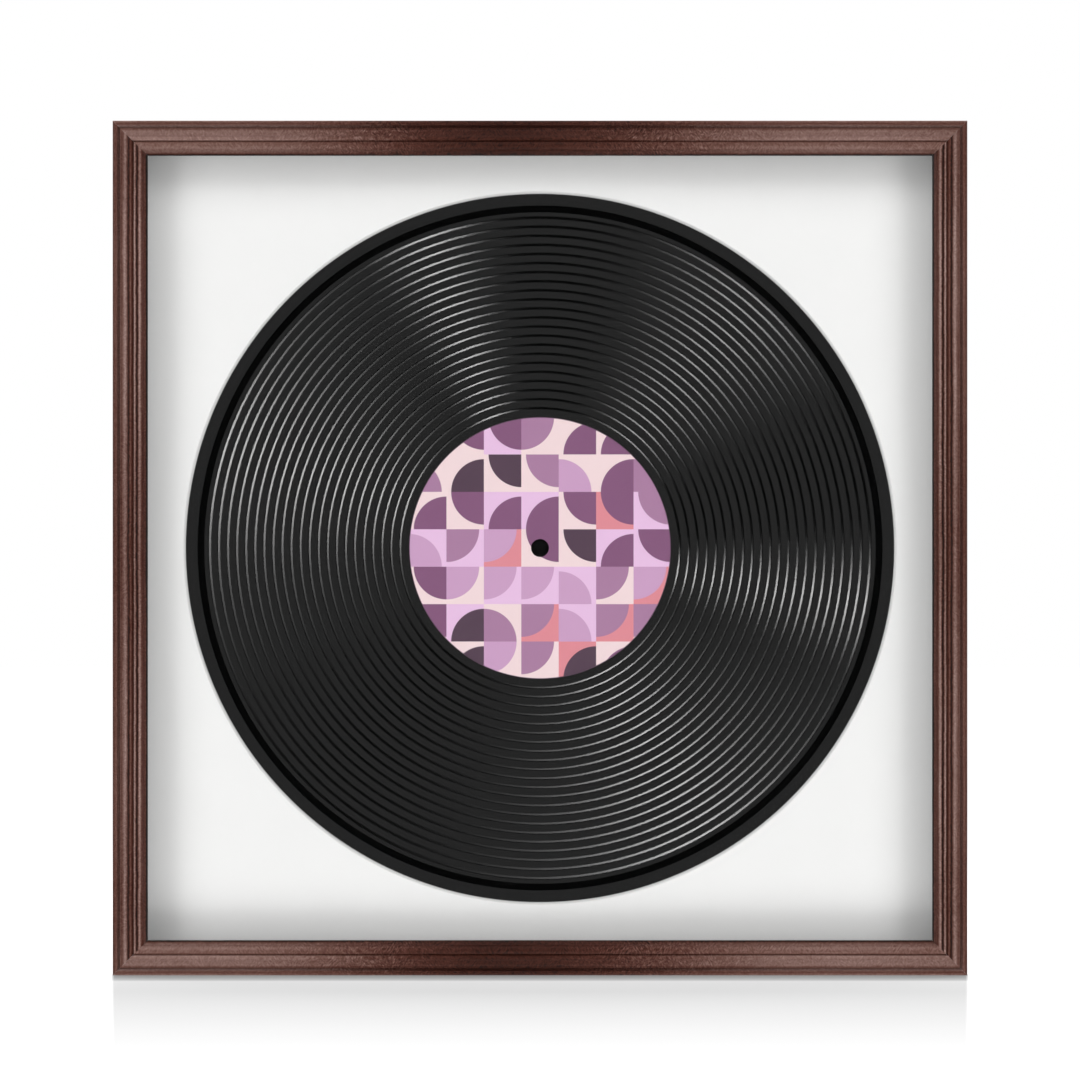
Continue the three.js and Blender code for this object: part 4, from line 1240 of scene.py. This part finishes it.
def softened(node, name, finish, width):
    """A copy of a piece with its flat facets joined and its edges broken by a narrow bevel."""
    mesh = frame["nodes"][node].data.copy()
    shell = bmesh.new()
    shell.from_mesh(mesh)
    bmesh.ops.remove_doubles(shell, verts=shell.verts, dist=FACET_GAP)
    bmesh.ops.dissolve_limit(shell, angle_limit=FLAT_ANGLE, verts=shell.verts, edges=shell.edges)
    sharp = [e for e in shell.edges if e.is_manifold and e.calc_face_angle(0) > CORNER_ANGLE]
    bmesh.ops.bevel(shell, geom=sharp, offset=width, segments=2, profile=0.5, affect="EDGES",
                    clamp_overlap=True)
    shell.to_mesh(mesh)
    shell.free()
    finish_mesh(mesh, [finish], STRIP_EDGE_ANGLE)
    made = bpy.data.objects.new(name, mesh)
    scene.collection.objects.link(made)
    stand_in(made, node)


softened("sawtooth_hanger", "hanger_strip", steel, 0.12 * MM)
for corner in ("bottom_left", "top_left", "top_right", "bottom_right"):
    softened(f"corner_nail_{corner}", f"v_nail_{corner}", steel, 0.08 * MM)

# %% [markdown]
# Two soft rubber pads keep the lower corners off the wall. Moulded rubber is matt and nearly black, and
# wear blooms on it a little lighter.

# %% Rubber
BLOOM_PER_MM = 0.7
bumper_rubber, tree, end = material("soft_grey_rubber")
place = add(tree, "ShaderNodeTexCoord")
bloom = add(tree, "ShaderNodeTexNoise", {"Vector": place.outputs["Object"], "Scale": BLOOM_PER_MM / MM,
                                         "Detail": 3})
tint = add(tree, "ShaderNodeValToRGB", {"Fac": bloom.outputs["Fac"]},
           stops=[(0.35, linear("#2d2d2f")), (0.7, linear("#3d3d40"))])
rubber = add(tree, "ShaderNodeBsdfPrincipled", {"Base Color": tint.outputs[0], "Roughness": 0.72})
tree.links.new(rubber.outputs[0], end)
print("rubber:", bumper_rubber.name)

# %% [markdown]
# The hanger's nails and the bumpers are round, so each is a profile of radius and depth, turned about its
# own axis. A nail has a point, a shank, a flat seat and a low dome, and a bumper is a disc with a soft
# rim.

# %% Nails and bumpers
PART_STEPS, DOME_STEPS, SOFT_RIM_STEPS = 64, 8, 10
TACK_RADIUS, TACK_HEAD, TACK_HEAD_EDGE, TACK_DOME = 0.7 * MM, 1.7 * MM, 0.2 * MM, 0.4 * MM
BUMPER_RADIUS, BUMPER_EDGE = 4 * MM, 0.8 * MM


def tack_profile(low, high):
    """Point, shank and seat, then a dome: r = head cos a, y = seat + edge + dome sin a."""
    a = np.linspace(0, np.pi / 2, DOME_STEPS)
    seat = high - TACK_HEAD_EDGE - TACK_DOME
    radius = np.concatenate([[0, TACK_RADIUS, TACK_RADIUS, TACK_HEAD], TACK_HEAD * np.cos(a)])
    depth = [[low, low + 2 * TACK_RADIUS, seat, seat], seat + TACK_HEAD_EDGE + TACK_DOME * np.sin(a)]
    return radius, np.concatenate(depth)


def bumper_profile(low, high):
    """A flat disc with a quarter round: r = radius - edge (1 - cos a), y = high - edge (1 - sin a)."""
    a = np.linspace(0, np.pi / 2, SOFT_RIM_STEPS)
    radius = np.concatenate([[0, BUMPER_RADIUS], BUMPER_RADIUS - BUMPER_EDGE * (1 - np.cos(a)), [0]])
    return radius, np.concatenate([[low, low], high - BUMPER_EDGE * (1 - np.sin(a)), [high]])


def turned_part(node, name, finish, profile):
    """A small round part from its profile between its node's lowest and highest Y, at its node's axis."""
    low, high = span(node)
    centre = (low + high) / 2
    points, faces = revolve(*profile(low[1], high[1]), [centre[0], 0, centre[2]], PART_STEPS)
    stand_in(surface(name, points, faces, [finish], SMALL_EDGE_ANGLE), node)


for side in ("left", "right"):
    turned_part(f"hanger_nail_{side}", f"tack_{side}", steel, tack_profile)
    turned_part(f"wall_bumper_{side}", f"bumper_{side}", bumper_rubber, bumper_profile)
